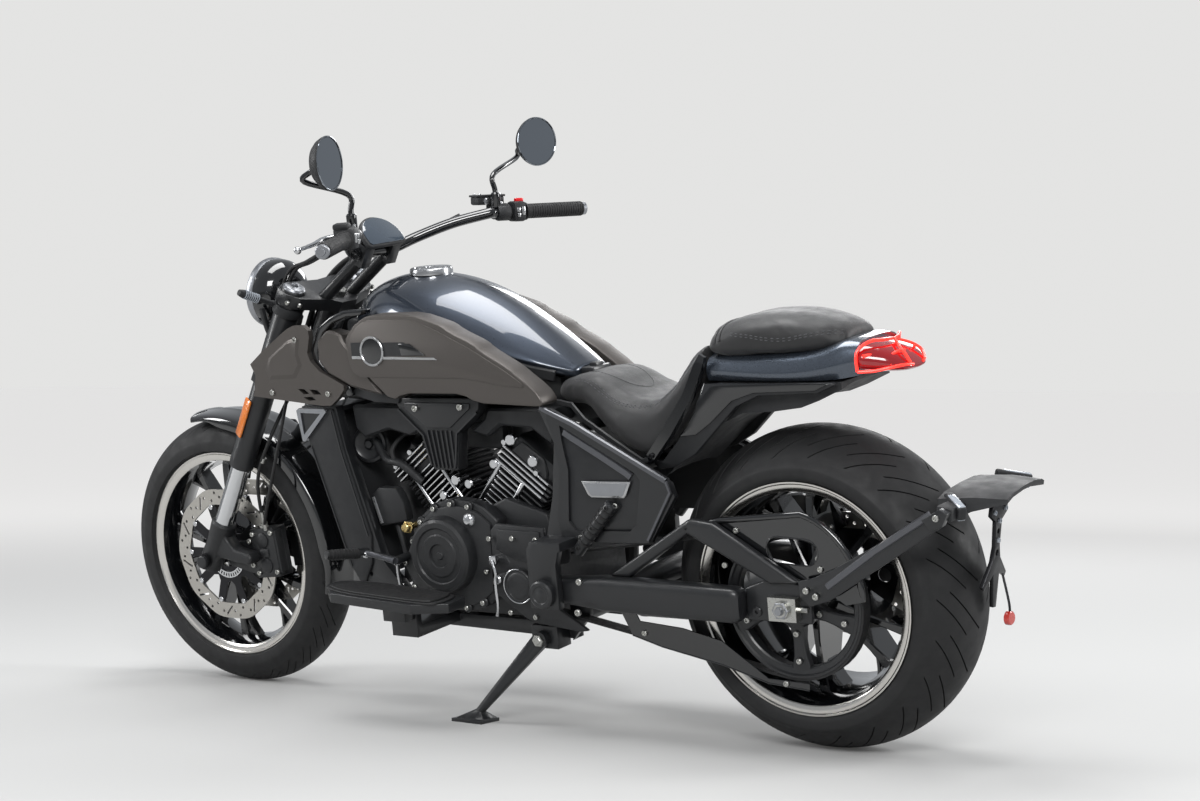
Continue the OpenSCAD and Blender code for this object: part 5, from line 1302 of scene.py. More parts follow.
def lower_frame():
    """The lower rails and the exhaust with its silencer."""
    softened("lower_cradle", "satin_powder_coat", 3)
    softened("exhaust", "ceramic_black", 2)
    shield = bmesh.new()
    at = facing((600, -220.5, 218), (-1, 0, 0))
    lathe(shield, [(0, 0), (52.4, 0), (53.6, 4), (53.6, 12), (52.6, 16), (52.6, 440), (53.8, 444),
                   (53.8, 470), (50, 486), (44, 492), (42, 490), (42, 470), (0, 470)], at, 48)
    piece("silencer_shell", shield, "ceramic_black")
    tips = bmesh.new()
    for z in (-22, 22):
        at = facing((100, -220.5, 218 + z), (-1, 0, 0))
        lathe(tips, [(15, 2), (15, 58), (17, 60), (19.2, 58.5), (19.4, 50), (19.4, 0), (15, 2)], at, 32)
    piece("silencer_tips", tips, "cast_alloy")


# ---------- front end ----------

FORK_X, FORK_Y = 41.1, 106.0
AXLE_UP, SLIDER_LOW, SLIDER_TOP, LOW_YOKE, TOP_YOKE, FORK_TOP = 342.2, 446.2, 604.2, 824.2, 1032.2, 1066.2
GRIP_IN, GRIP_OUT = Vector((930.2, 236, 1074)), Vector((833.2, 445, 1060))
GRIP_LONG = (GRIP_OUT - GRIP_IN).length


def bar_place(side):
    """A bar end's own frame: Z runs out along the grip, -X is up and -Y is ahead."""
    d = GRIP_OUT - GRIP_IN
    turn = (Matrix.Rotation(math.atan2(d.y, d.x), 4, "Z")
            @ Matrix.Rotation(math.acos(d.z / d.length), 4, "Y"))
    return Matrix.Scale(side, 4, (0, 1, 0)) @ Matrix.Translation(GRIP_IN) @ turn


def fork():
    """Fork legs: dark outer tubes, chromed sliders, cast feet, bright caps and amber reflectors."""
    outer, chrome, feet, caps, amber = (bmesh.new() for _ in range(5))
    for s in (1, -1):
        at = Matrix.Translation((FORK_X, s * FORK_Y, 0))
        lathe(outer, [(26, SLIDER_TOP - 2), (28.6, SLIDER_TOP - 2), (29.2, SLIDER_TOP + 4),
                      (29.2, SLIDER_TOP + 20), (28, SLIDER_TOP + 24), (28, FORK_TOP - 6),
                      (26, FORK_TOP - 2), (22, FORK_TOP - 2), (22, SLIDER_TOP + 20),
                      (26, SLIDER_TOP - 2)], at, 48)
        lathe(chrome, [(0, SLIDER_LOW - 16), (22.5, SLIDER_LOW - 16), (22.5, SLIDER_TOP + 10),
                       (0, SLIDER_TOP + 10)], at, 48)
        lathe(feet, [(0, AXLE_UP - 26), (20, AXLE_UP - 26), (26, AXLE_UP - 16), (26, AXLE_UP + 40),
                     (28, AXLE_UP + 70), (29, SLIDER_LOW - 18), (29.5, SLIDER_LOW - 4), (27, SLIDER_LOW),
                     (22.6, SLIDER_LOW + 1), (22, SLIDER_LOW - 20), (0, SLIDER_LOW - 20)], at, 40)
        plate(feet, [(64, 322), (69, 346), (64, 392), (66, 436), (60, 446), (22, 446), (14, 420), (-16, 408),
                     (-66, 424), (-78, 414), (-74, 398), (-24, 378), (14, 366), (24, 330), (40, 318)],
              *sided(s, 84, 124), bevel=7, segments=3)
        lathe(caps, [(0, 8), (14, 7.4), (22, 5), (25.4, 1), (25.4, -6), (0, -6)],
              Matrix.Translation((FORK_X, s * FORK_Y, FORK_TOP)), 40)
        lathe(caps, [(0, 13), (7, 13), (9, 11), (9, 4), (0, 4)],
              Matrix.Translation((FORK_X, s * FORK_Y, FORK_TOP)), 6)
        mount = at @ Matrix.Rotation(s * math.radians(68), 4, "Z")
        box(amber, (27.5, -13, 682), (34, 13, 778), 5, mount)
        lathe(feet, [(0, 10), (12, 10), (15, 8), (15, -3)],
              HEAD.inverted() @ UPRIGHT @ facing((FRONT_AXLE.x, s * 138, FRONT_AXLE.z), (0, s, 0)), 24)
    piece("fork_outer_tubes", outer, "satin_powder_coat", body="steering", place=HEAD,
          stands_for=("fork_legs",))
    piece("fork_chrome_sliders", chrome, "hard_chrome", body="steering", place=HEAD)
    piece("fork_feet", feet, "crackle_enamel", body="steering", place=HEAD)
    piece("fork_caps", caps, "cast_alloy", body="steering", place=HEAD)
    piece("fork_reflectors", amber, "amber_reflector", body="steering", place=HEAD)
    softened("fork_yokes", "satin_powder_coat", 3)
    nut = bmesh.new()
    lathe(nut, [(0, 10), (8, 10), (10, 8), (16, 8), (18, 6), (18, -6), (0, -6)],
          Matrix.Translation((0, 0, TOP_YOKE + 34)), 6)
    for s in (1, -1):
        for up in (LOW_YOKE + 10, LOW_YOKE + 24, TOP_YOKE + 14):
            bolt(nut, (FORK_X - 22, s * 142, up), (0, s, 0), 5.5)
            bolt(nut, (FORK_X - 40, s * 122, up), (-1, 0, 0), 5.5)
        for x in (-16, 16):
            bolt(nut, (-61 + x, s * 45, 1218), (0, 0, 1), 5)
    piece("yoke_screws", nut, "plated_steel", body="steering", place=HEAD)


def front_fender():
    """The short gloss fender with a ridge, rolled edges and its fork brackets."""
    rings = []
    for step in range(21):
        a = math.radians(77.5 + 116 * step / 20)
        width = 73 * (0.72 + 0.28 * math.sin(math.pi * min(1, (step + 1.5) / 6) / 2)) if step < 5 else 73
        lift = 3.0 * max(0, 1 - step / 3)
        out = Vector((math.cos(a), 0, math.sin(a)))
        ring = []
        for y, r in ((-1, 308), (-1.0, 326), (-0.94, 334), (-0.6, 338.5), (-0.14, 340), (0, 341.8),
                     (0.14, 340), (0.6, 338.5), (0.94, 334), (1.0, 326), (1, 308), (0.96, 308),
                     (0.95, 325), (0.88, 331), (0.5, 334.4), (0, 335.6), (-0.5, 334.4), (-0.88, 331),
                     (-0.95, 325), (-0.96, 308)):
            drop = 0 if r > 320 or 2 < step < 18 else 12
            ring.append(FRONT_AXLE + out * (r + drop + lift) + Vector((0, y * width, 0)))
        rings.append(ring)
    loft("front_fender_shell", rings, "gloss_black_lacquer", {0: 0.9, 5: 0.8, 10: 0.9, 11: 0.9, 19: 0.9},
         1.0, ("front_fender",), body="steering")
    arms = bmesh.new()
    for s in (1, -1):
        plate(arms, [(1520, 528), (1472, 508), (1440, 602), (1452, 622), (1494, 624)],
              *sided(s, 73, 80), bevel=2.5)
        for x, z in ((1492, 540), (1466, 606)):
            bolt(arms, (x, s * 80, z), (0, s, 0), 6)
    piece("fender_brackets", arms, "black_oxide", body="steering")
    tip = bmesh.new()
    a = [math.radians(t) for t in (78.6, 77.2)]
    for s in (1, -1):
        tube(tip, [FRONT_AXLE + Vector((math.cos(t) * r, s * y, math.sin(t) * r)) for t, r, y in
                   ((a[0], 322, 56), (a[0], 336, 54), (a[0], 342.5, 34), (a[0], 344.5, 0))], 1.8, 8, 4)
    piece("fender_tip_edge", tip, "silver_trim", body="steering")


def calipers():
    """Four-piston front calipers with bridge ribs, pins and unions, and the rear caliper."""
    softened("front_calipers", "crackle_enamel", 5)
    softened("rear_caliper", "crackle_enamel", 4)
    shape, screws = bmesh.new(), bmesh.new()
    turn = Matrix.Rotation(math.radians(6), 4, "Y")
    for s in (1, -1):
        place = Matrix.Scale(s, 4, (0, 1, 0)) @ Matrix.Translation(FRONT_AXLE) @ turn
        for z in (-30, 30):
            lathe(shape, [(0, 5), (13, 5), (17, 3), (19, -4), (0, -4)],
                  place @ facing((-148, 84, z), (0, 1, 0)), 32)
        box(shape, (-190, 56, -52), (-176, 82, 52), 5, place)
        box(shape, (-162, 80, -10), (-134, 88, 10), 4, place)
        for x, z in ((-178, -46), (-178, 46), (-120, -46), (-120, 46)):
            bolt(screws, place @ Vector((x, 84, z)), place.to_3x3() @ Vector((0, 1, 0)), 6)
        for x, z in ((-104, -26), (-104, 30)):
            bolt(screws, place @ Vector((x, 81, z)), place.to_3x3() @ Vector((0, 1, 0)), 7)
        lathe(screws, [(0, 12), (4, 12), (4, 8), (8, 8), (8, -4), (0, -4)],
              place @ facing((-150, 74, 58), (0, 0.2, 1)), 6)
    piece("caliper_bodies", shape, "crackle_enamel", body="steering")
    piece("caliper_screws", screws, "plated_steel", body="steering")
    rear = bmesh.new()
    place = Matrix.Translation(REAR_AXLE) @ Matrix.Rotation(math.radians(28), 4, "Y")
    for x in (-20, 20):
        lathe(rear, [(0, 5), (13, 5), (17, 3), (19, -4), (0, -4)], place @ facing((x, -128, 124), (0, -1, 0)),
              32)
    for x in (-36, 36):
        bolt(rear, place @ Vector((x, -128, 146)), (0, -1, 0), 6)
    piece("rear_caliper_details", rear, "plated_steel")


def headlamp():
    """The round headlamp: gloss bowl, rim, clear dome and a dark reflector with a light bar."""
    place = Matrix.Translation((FORK_X + 134, 0, LOW_YOKE + 146)) @ Matrix.Rotation(
        math.radians(113), 4, "Y")
    shell, rim, lens, inside = (bmesh.new() for _ in range(4))
    lathe(shell, [(0, -66), (34, -65), (50, -61), (64, -51), (73, -40), (77, -30), (78.5, -16), (78.5, -4),
                  (76, -2), (70, -2), (66, -16), (40, -40), (0, -44), (0, -66)], place, 64)
    lathe(rim, [(71, -6), (78.8, -6), (80, -2), (80, 8), (78.6, 12), (75, 13.4), (72, 12), (71, 6), (71, -6)],
          place, 64)
    lathe(lens, [(0, 15.6), (24, 15), (48, 13), (64, 10), (71.5, 5), (71.5, 2), (64, 6), (30, 10.5),
                 (0, 11.4), (0, 15.6)], place, 64)
    lathe(inside, [(0, -30), (18, -30), (22, -22), (40, -20), (44, -12), (62, -8), (70, 1), (66, -14),
                   (40, -34), (0, -38), (0, -30)], place, 48)
    box(inside, (-4, -68, -8), (4, 68, 1), 2, place)
    piece("headlamp_bowl", shell, "gloss_black_lacquer", body="steering", place=HEAD,
          stands_for=("headlamp",))
    piece("headlamp_rim", rim, "cast_alloy", body="steering", place=HEAD)
    piece("headlamp_glass", lens, "clear_lens", body="steering", place=HEAD)
    piece("headlamp_inside", inside, "black_oxide", body="steering", place=HEAD)
    arm = bmesh.new()
    box(arm, (84, -18, LOW_YOKE + 4), (106, 18, LOW_YOKE + 120), 5)
    box(arm, (84, -18, LOW_YOKE + 106), (140, 18, LOW_YOKE + 132), 6)
    for s in (1, -1):
        tube(arm, [(66, s * 60, LOW_YOKE + 70), (96, s * 74, LOW_YOKE + 92), (130, s * 84, LOW_YOKE + 140)],
             7, 10, 5)
        lathe(arm, [(0, 6), (9, 6), (11, 3), (11, -8)],
              facing((150, s * 80, LOW_YOKE + 152), (0, s, 0)), 24)
    piece("headlamp_bracket", arm, "satin_powder_coat", body="steering", place=HEAD)


def handlebar():
    """The pulled-back bar, its grips, levers, switch housings, reservoir and stop switch."""
    bar = bmesh.new()
    path = smooth_path([(1085.2, 62, 1019.3), (1080.2, 78, 1022.3), (1055.2, 116, 1037.3),
                        (997.2, 172, 1060), (936, 226, 1073.6), (930.2, 236, 1074)], 8)
    for s in (1, -1):
        pts = [Vector((p.x, s * p.y, p.z)) for p in path] + [
            Vector((GRIP_OUT.x, s * GRIP_OUT.y, GRIP_OUT.z))]
        tube(bar, pts, [13.6, 13.6, 12.6] + [12.2] * 40 + [11.0], 20)
    tube(bar, [(1085.2, y, 1019.3) for y in (-66, -20, 20, 66)], 14.3, 24)
    piece("handlebar_tube", bar, "gloss_black_lacquer", body="steering", stands_for=("handlebar",))
    grips, ends, boxes, silver, red, small = (bmesh.new() for _ in range(6))
    for s in (1, -1):
        at = bar_place(s)
        profile = [(12, 82), (19.5, 82), (20, 85), (17, 88)]
        z = 92
        while z < GRIP_LONG - 8:
            profile += [(16.9, z), (16.9, z + 3.4), (15.9, z + 4.2), (15.9, z + 5.4)]
            z += 6.2
        profile += [(16.9, GRIP_LONG - 3), (16, GRIP_LONG), (12, GRIP_LONG), (12, 82)]
        lathe(grips, profile, at, 32)
        lathe(ends, [(0, GRIP_LONG + 13), (7, GRIP_LONG + 13), (8, GRIP_LONG + 10.5),
                     (12.6, GRIP_LONG + 10.5), (14.6, GRIP_LONG + 9), (15, GRIP_LONG + 1),
                     (12, GRIP_LONG), (0, GRIP_LONG)], at, 32)
        box(boxes, (-24, -22, 46), (22, 22, 78), 8, at)
        box(boxes, (-21, -36, 12), (16, 12, 38), 6, at)
        lathe(boxes, [(11.6, 10), (17, 10), (19, 14), (19, 38), (17, 42), (11.6, 42), (11.6, 10)], at, 28)
        box(small, (-10, 19, 50), (0, 25, 60), 1.6, at)
        box(small, (2, 19, 52), (12, 26, 60), 2, at)
        box(small, (-12, 18, 64), (8, 24, 73), 2, at)
        lever = [(-1, -40, 18), (-1, -52, 34), (-1, -57, 60), (-1, -55, 100), (-1, -58, 140),
                 (-1, -63, 172), (-1, -65, 190)]
        tube(silver, [at @ Vector(p) for p in smooth_path(lever, 5)],
             [9, 8.6, 8, 7, 6.6, 6.2, 5.6, 5, 4.6], 12, 0, 0.72)
        lathe(silver, [(0, 8), (4, 7), (7, 4), (8, 0), (7, -4), (4, -7), (0, -8)],
              at @ Matrix.Translation((-1, -65, 191)), 20)
        bolt(silver, at @ Vector((-21, -34, 20)), at.to_3x3() @ Vector((-1, 0, 0)), 5)
        bolt(silver, at @ Vector((-21, 6, 20)), at.to_3x3() @ Vector((-1, 0, 0)), 4)
    at = bar_place(-1)
    box(boxes, (-38, -54, -28), (-18, -14, 40), 5, at)
    box(boxes, (-41, -56, -30), (-36, -12, 42), 2, at)
    box(boxes, (-20, -44, 6), (-6, -20, 30), 4, at)
    lathe(silver, [(0, 3), (4, 3), (5, 2), (8, 2), (9, 0), (9, -4), (0, -4)],
          at @ facing((-28, -14, -6), (0, 1, 0)), 24)
    for z in (-20, 32):
        for y in (-48, -20):
            bolt(silver, at @ Vector((-41, y, z)), at.to_3x3() @ Vector((-1, 0, 0)), 3)
    box(red, (-31, 2, 54), (-22, 14, 74), 2.6, at)
    at = bar_place(1)
    box(boxes, (-34, -24, 50), (-20, 10, 78), 5, at)
    piece("grips", grips, "moulded_rubber", body="steering")
    piece("bar_end_weights", ends, "cast_alloy", body="steering")
    piece("switch_housings", boxes, "moulded_grain", body="steering",
          stands_for=("left_controls", "right_controls"))
    piece("hand_levers", silver, "machined_alloy", body="steering")
    piece("stop_switch", red, "red_switch", body="steering")
    piece("switch_buttons", small, "silver_trim", body="steering")


def dash():
    """The half-oval dash with a blank dark screen in a thin bezel."""
    turn = Matrix(((0, 0, 1, 0), (1, 0, 0, 0), (0, 1, 0, 0), (0, 0, 0, 1)))
    place = (Matrix.Translation((1077.2, 0, 1059.3)) @ Matrix.Rotation(math.radians(-52), 4, "Y") @ turn)

    def arch(wide, low, high):
        out = [(-wide, low + 6), (-wide + 6, low), (wide - 6, low), (wide, low + 6)]
        return out + [(wide * math.cos(t), low + 22 + (high - low - 22) * math.sin(t))
                      for t in [math.radians(a) for a in range(0, 181, 10)]]
    shell, glass, back = bmesh.new(), bmesh.new(), bmesh.new()
    plate(shell, arch(63.5, -43.5, 35.5), 0, 13, bevel=4, segments=3, place=place)
    plate(glass, arch(58.5, -39, 31), 12.6, 15.2, bevel=1.2, segments=2, place=place)
    box(back, (-30, -16, -14), (30, 2, 16), 5, place)
    box(back, (-24, -30, -24), (24, -2, 6), 5, place)
    piece("dash_shell", shell, "moulded_grain", body="steering", stands_for=("dash",))
    piece("dash_screen", glass, "dark_screen", body="steering")
    piece("dash_back", back, "moulded_grain", body="steering")


def mirrors():
    """Round mirrors: stems with a knuckle, deep bowls, rims and silvered glass."""
    stems, bowls, glass = bmesh.new(), bmesh.new(), bmesh.new()
    foot = GRIP_IN + Vector((-5, 11, 19.6))
    for s, head, turn in ((1, Vector((902.2, 320, 1228)), 14), (-1, Vector((905.2, 398, 1222)), 16)):
        flip = Matrix.Scale(s, 4, (0, 1, 0))
        path = [foot + Vector((0, 0, -6)), foot + Vector((0, 0, 30)), foot + Vector((2, 2, 66)),
                head + Vector((70, 6, -34)), head + Vector((58, 0, -16)), head + Vector((34, -2, -10)),
                head + Vector((24, -2, -8))]
        tube(stems, [flip @ p for p in smooth_path(path, 6)], 6.0, 14)
        lathe(stems, [(6, -8), (10, -8), (11, -5), (11, 22), (8, 26), (6, 26)],
              Matrix.Translation(flip @ foot), 24)
        at = (flip @ Matrix.Translation(head) @ Matrix.Rotation(math.radians(turn), 4, "Z")
              @ Matrix.Rotation(math.radians(-90), 4, "Y"))
        lathe(bowls, [(0, -38), (14, -37), (28, -33.4), (40, -27), (49, -18), (54, -9), (56, -3),
                      (55.6, -0.6), (54.4, 0), (52.8, -1), (52.6, -3), (0, -4), (0, -38)], at, 64)
        lathe(glass, [(53, -0.8), (54.2, 0.3), (55.6, -0.4), (55.8, -2), (53, -2.6), (53, -0.8)], at, 64)
        lathe(glass, [(0, -1.8), (52.4, -1.8), (52.6, -3.2), (0, -3.2)], at, 56)
    piece("mirror_stems", stems, "gloss_black_lacquer", body="steering", stands_for=("mirrors",))
    piece("mirror_bowls", bowls, "moulded_grain", body="steering")
    piece("mirror_glasses", glass, "mirror_glass", body="steering")


def front_indicators():
    """Ribbed blade indicators on clamps round the fork tubes."""
    body, ribs = bmesh.new(), bmesh.new()
    for s in (1, -1):
        a = Vector((FORK_X + 26, s * (FORK_Y + 16), TOP_YOKE - 18))
        b = Vector((FORK_X + 62, s * (FORK_Y + 104), TOP_YOKE + 6))
        lathe(body, [(28.4, TOP_YOKE - 29), (33, TOP_YOKE - 29), (34, TOP_YOKE - 26), (34, TOP_YOKE - 10),
                     (33, TOP_YOKE - 7), (28.4, TOP_YOKE - 7), (28.4, TOP_YOKE - 29)],
              Matrix.Translation((FORK_X, s * FORK_Y, 0)), 32)
        tube(body, [a + (b - a) * t for t in (0, 0.2, 0.4, 0.5, 0.9, 1.0)], [8, 6, 6, 9, 9.4, 7], 14)
        for k in range(8):
            spot = a + (b - a) * (0.5 + 0.05 * k)
            lathe(ribs, [(9, -1), (10.6, -0.8), (10.6, 0.8), (9, 1)], facing(spot, b - a), 18)
    piece("front_indicator_bodies", body, "moulded_grain", body="steering", place=HEAD,
          stands_for=("front_indicators",))
    piece("front_indicator_ribs", ribs, "clear_lens", body="steering", place=HEAD)


def hoses():
    """Brake hoses with their splitter and unions, and the looms round the steering head."""
    rubber, metal = bmesh.new(), bmesh.new()
    split = LOW_YOKE - 24
    for s in (1, -1):
        leg = [(-64, 84, AXLE_UP + 145), (-40, 98, AXLE_UP + 190), (-14, 106, AXLE_UP + 262),
               (-14, 106, AXLE_UP + 350), (-2, 72, split - 24), (16, 34, split - 2), (18, 13, split)]
        tube(rubber, [(x, s * y, z) for x, y, z in leg], 4.2, 12, 6)
        loop = [(-58, 88, AXLE_UP + 150), (-66, 112, AXLE_UP + 220), (-62, 124, AXLE_UP + 330),
                (-40, 112, AXLE_UP + 420), (-16, 92, LOW_YOKE - 4)]
        tube(rubber, [(x, s * y, z) for x, y, z in loop], 4.0, 12, 6)
        for p, q, r in (((-64, 84, AXLE_UP + 140), (-46, 95, AXLE_UP + 182), 6),
                        ((10, 44, split - 6), (18, 14, split), 6),
                        ((-14, 106, AXLE_UP + 300), (-14, 106, AXLE_UP + 312), 6.4)):
            tube(metal, [(p[0], s * p[1], p[2]), (q[0], s * q[1], q[2])], r, 12)
        arch = [(97, 60, LOW_YOKE + 20), (96, 60, TOP_YOKE - 40), (72, 84, TOP_YOKE + 60),
                (10, 116, TOP_YOKE + 120), (-60, 160, TOP_YOKE + 190), (-110, 206, TOP_YOKE + 256)]
        for dx, dy, dz, r in ((0, 0, 0, 6), (9, 6, -6, 3.6), (-8, 8, 5, 3.6)):
            tube(rubber, [(x + dx, s * (y + dy), z + dz) for x, y, z in arch], r, 10, 6)
    box(metal, (8, -12, split - 8), (32, 12, split + 23), 4)
    piece("hoses_and_looms", rubber, "moulded_rubber", body="steering", place=HEAD,
          stands_for=("hoses_and_cables",))
    piece("hose_unions", metal, "plated_steel", body="steering", place=HEAD)


# ---------- rear end and controls ----------


def swingarm():
    """The swingarm with its ribs, adjusters, pivot caps and workshop-stand bosses."""
    blocks, screws, rims, arms = (bmesh.new() for _ in range(4))
    lathe(arms, [(0, -163), (26, -163), (26, 163), (0, 163)],
          ARM @ Matrix.Translation((392, 0, 0)) @ ACROSS, 32)
    for s in (1, -1):
        plate(blocks, [(-30, 301), (30, 301), (30, 347), (-30, 347)], *sided(s, 176.8, 186), bevel=3)
        plate(blocks, [(-24, 306), (-14, 306), (-14, 342), (-24, 342)], *sided(s, 185, 188), bevel=1)
        lathe(blocks, [(0, 12), (9, 12), (10, 10), (16, 10), (18, 8), (18, -4)],
              facing((0, s * 196, 324), (0, s, 0)), 6)
        lathe(blocks, [(0, 18), (7, 18), (8, 16), (8, 0)], facing((0, s * 196, 324), (0, s, 0)), 24)
        tube(screws, [ARM @ Vector((-50, s * 184, 0)), ARM @ Vector((-30, s * 184, 0))], 5, 6)
        for x, z in ((506, 366), (516, 302)):
            bolt(screws, (x - 66, s * 232, z - 4), (0, s, 0), 7)
        lathe(rims, [(0, 14.5), (8, 14.5), (10, 13.4), (17, 13.4), (19, 15), (25, 15), (28.6, 12.6), (29, -1),
                     (0, -1)], facing((530, s * 234, 332), (0, s, 0)), 40)
        lathe(rims, [(4, 3), (9, 3), (10, 2), (10, -2), (4, -2), (4, 3)],
              ARM @ facing((66, s * 176.5, -14), (0, s, 0)), 24)
        for outline, deep, soft in (
                ([(-52, 30), (-52, -30), (90, -32), (90, 32), (40, 52), (-20, 50)], 14, 4),
                ([(-34, 50), (30, 44), (232, 142), (206, 162), (150, 156)], 24, 8),
                ([(204, 162), (404, 34), (352, 34), (196, 140)], 24, 8)):
            plate(arms, outline, *sided(s, 162.5, 162.5 + deep), bevel=soft, segments=3, place=ARM)
        rings = []
        for x, h, w in ((90, 8, 4), (91, 26, 17), (97, 32, 22), (110, 35, 24.6), (250, 35, 25), (410, 35, 25),
                        (450, 31, 25), (530, 26, 25), (552, 8, 24)):
            turns = [math.tau * k / 24 for k in range(24)]
            rings.append([
                ARM @ Vector((x, s * 187.5 + w * math.copysign(abs(math.cos(t)) ** 0.5, math.cos(t)),
                              h * math.copysign(abs(math.sin(t)) ** 0.5, math.sin(t))))
                for t in turns])
        sweep(arms, rings)
    piece("axle_adjusters", blocks, "cast_alloy")
    piece("swingarm_screws", screws, "plated_steel")
    piece("pivot_caps", rims, "satin_powder_coat")
    paint_node("rear_axle", "plated_steel")
    piece("swingarm_tubes", arms, "satin_powder_coat", sharp=40, stands_for=("swingarm",))


def belt_guards():
    """Gloss belt guards: the upper one with a bright rolled edge and an oval window."""
    arc = [(186 * math.cos(math.radians(180 - a)) * 0.86, 186 * math.sin(math.radians(a)))
           for a in range(78, 5, -6)]
    outline = [(206, 148), (150, 160)] + arc + [(-120, 10), (-60, 46), (-34, 52), (40, 60)]
    window = ([(-40 + 26 * math.cos(t), 106 + 26 * math.sin(t)) for t in
               [math.radians(a) for a in range(90, 271, 20)]]
              + [(20 + 26 * math.cos(t), 108 + 26 * math.sin(t)) for t in
                 [math.radians(a) for a in range(-90, 91, 20)]])
    shape = bmesh.new()
    plate(shape, outline, 159.4, 162.2, [window], place=ARM)
    lower = [(-30, -166), (60, -160), (160, -134), (300, -110), (370, -92), (404, -28), (366, -28),
             (350, -60), (250, -66), (160, -84), (60, -150), (-30, -152)]
    plate(shape, lower, 159.4, 162.2, bevel=0.8, segments=1, place=ARM)
    piece("belt_guard_plates", shape, "gloss_black_lacquer", sharp=26, stands_for=("belt_guards",))
    edge = bmesh.new()
    path = [Vector((x, 160.6, z)) for x, z in
            [(200, 146), (150, 157)] + [(x * 0.985, z * 0.985) for x, z in arc]]
    tube(edge, [ARM @ p for p in path], [3] + [6.4] * 14 + [3], 14)
    tube(edge, [ARM @ Vector((x, 161.6, z)) for x, z in window + window[:1]], 1.6, 8)
    tube(edge, [ARM @ Vector((x, 161.6, z)) for x, z in
                ((-30, -165), (60, -159), (160, -133), (300, -109), (370, -91))], 1.8, 8)
    piece("belt_guard_edges", edge, "gloss_black_lacquer")
    bolts("belt_guard_screws", [(110, 162, 140), (-70, 162, 76), (140, 162, 70), (340, 162, -84),
                                (20, 162, -156)], 6, place=UPRIGHT @ ARM)


def plate_carrier():
    """The side arm, the bare plate holder, its indicators and the red reflector."""
    softened("plate_arm", "satin_powder_coat", 3)
    shape, lens, steel, red = (bmesh.new() for _ in range(4))
    hood = [[Vector((x, y, z)) for x, y, z in ((-306, w0, top), (-306, w0, top - 16), (-340, w1, top - 22),
                                              (-366, w1 * 0.9, top - 24), (-428, w2, top - 12),
                                              (-429.5, w2, top - 4), (-372, w1 * 0.86, top + 2))]
            for w0, w1, w2, top in ((128, 136, 96, 536), (100, 100, 70, 543), (30, 40, 24, 547),
                                    (-30, -40, -24, 547), (-60, -70, -60, 543), (-66, -84, -70, 538))]
    sweep(shape, hood)
    plate(shape, [(-322, 508), (-354, 504), (-356, 528), (-326, 534)], -118, 176, bevel=3)
    for s in (1, -1):
        a, b = Vector((-318, s * 108, 532)), Vector((-362, s * 150, 516))
        along = (b - a).normalized()
        place = facing(a, along)
        box(shape, (-9, -13, -4), (9, 13, (b - a).length + 6), 5, place, 3)
        box(lens, (-7, -14.4, 12), (7, -11, (b - a).length + 3), 2.6, place, 3)
        box(lens, (-7, 11, 12), (7, 14.4, (b - a).length + 3), 2.6, place, 3)
    fin = [(-16, 506), (16, 506), (34, 500), (36, 484), (14, 470), (10, 420), (18, 392), (54, 352), (46, 344),
           (10, 366), (0, 300), (-14, 298), (-18, 366), (-44, 352), (-50, 360), (-18, 396), (-12, 420),
           (-14, 470), (-36, 482), (-36, 498)]
    upright = Matrix(((0, 1, 0, 0), (1, 0, 0, 0), (0, 0, 1, 0), (0, 0, 0, 1)))
    lean = (Matrix.Translation((-366, 0, 506)) @ Matrix.Rotation(math.radians(-8), 4, "Y")
            @ Matrix.Translation((0, 0, -506)) @ upright)
    plate(steel, fin, -5, 3, [round_hole(0, 408, 6, 12), round_hole(0, 450, 5, 12)], bevel=1.2, place=lean)
    for x, z in ((-24, 490), (24, 490), (0, 432), (0, 470)):
        bolt(lens, lean @ Vector((x, -5, z)), (-1, 0, 0), 5)
    tube(steel, [(-372, 14, 372), (-386, 30, 340), (-394, 40, 318), (-394, 42, 300)], 2.4, 8, 4)
    lathe(red, [(0, 5), (11, 4.6), (13, 3), (13.6, 0), (13.6, -5), (0, -5)],
          facing((-394, 42, 296), (-1, 0.15, 0)), 28)
    piece("plate_holder_hood", shape, "moulded_grain", stands_for=("plate_holder",))
    piece("rear_indicator_lenses", lens, "clear_lens")
    piece("plate_bracket", steel, "black_oxide")
    piece("rear_reflector", red, "red_reflector")
    # a mid grey strip along the plate arm's rib: painted highlight on its raised edge
    slot = bmesh.new()
    strip(slot, [ARM @ Vector(p) for p in ((-96, 188.4, 50), (-200, 188.4, 126), (-318, 190, 202))], 14, 3)
    piece("plate_arm_rib", slot, "dark_alloy_and_edge_highlight")
    bolts("plate_arm_screws", [(-52, 190, 40), (-72, 190, 30), (-330, 194, 196)], 6.5,
          place=UPRIGHT @ ARM)


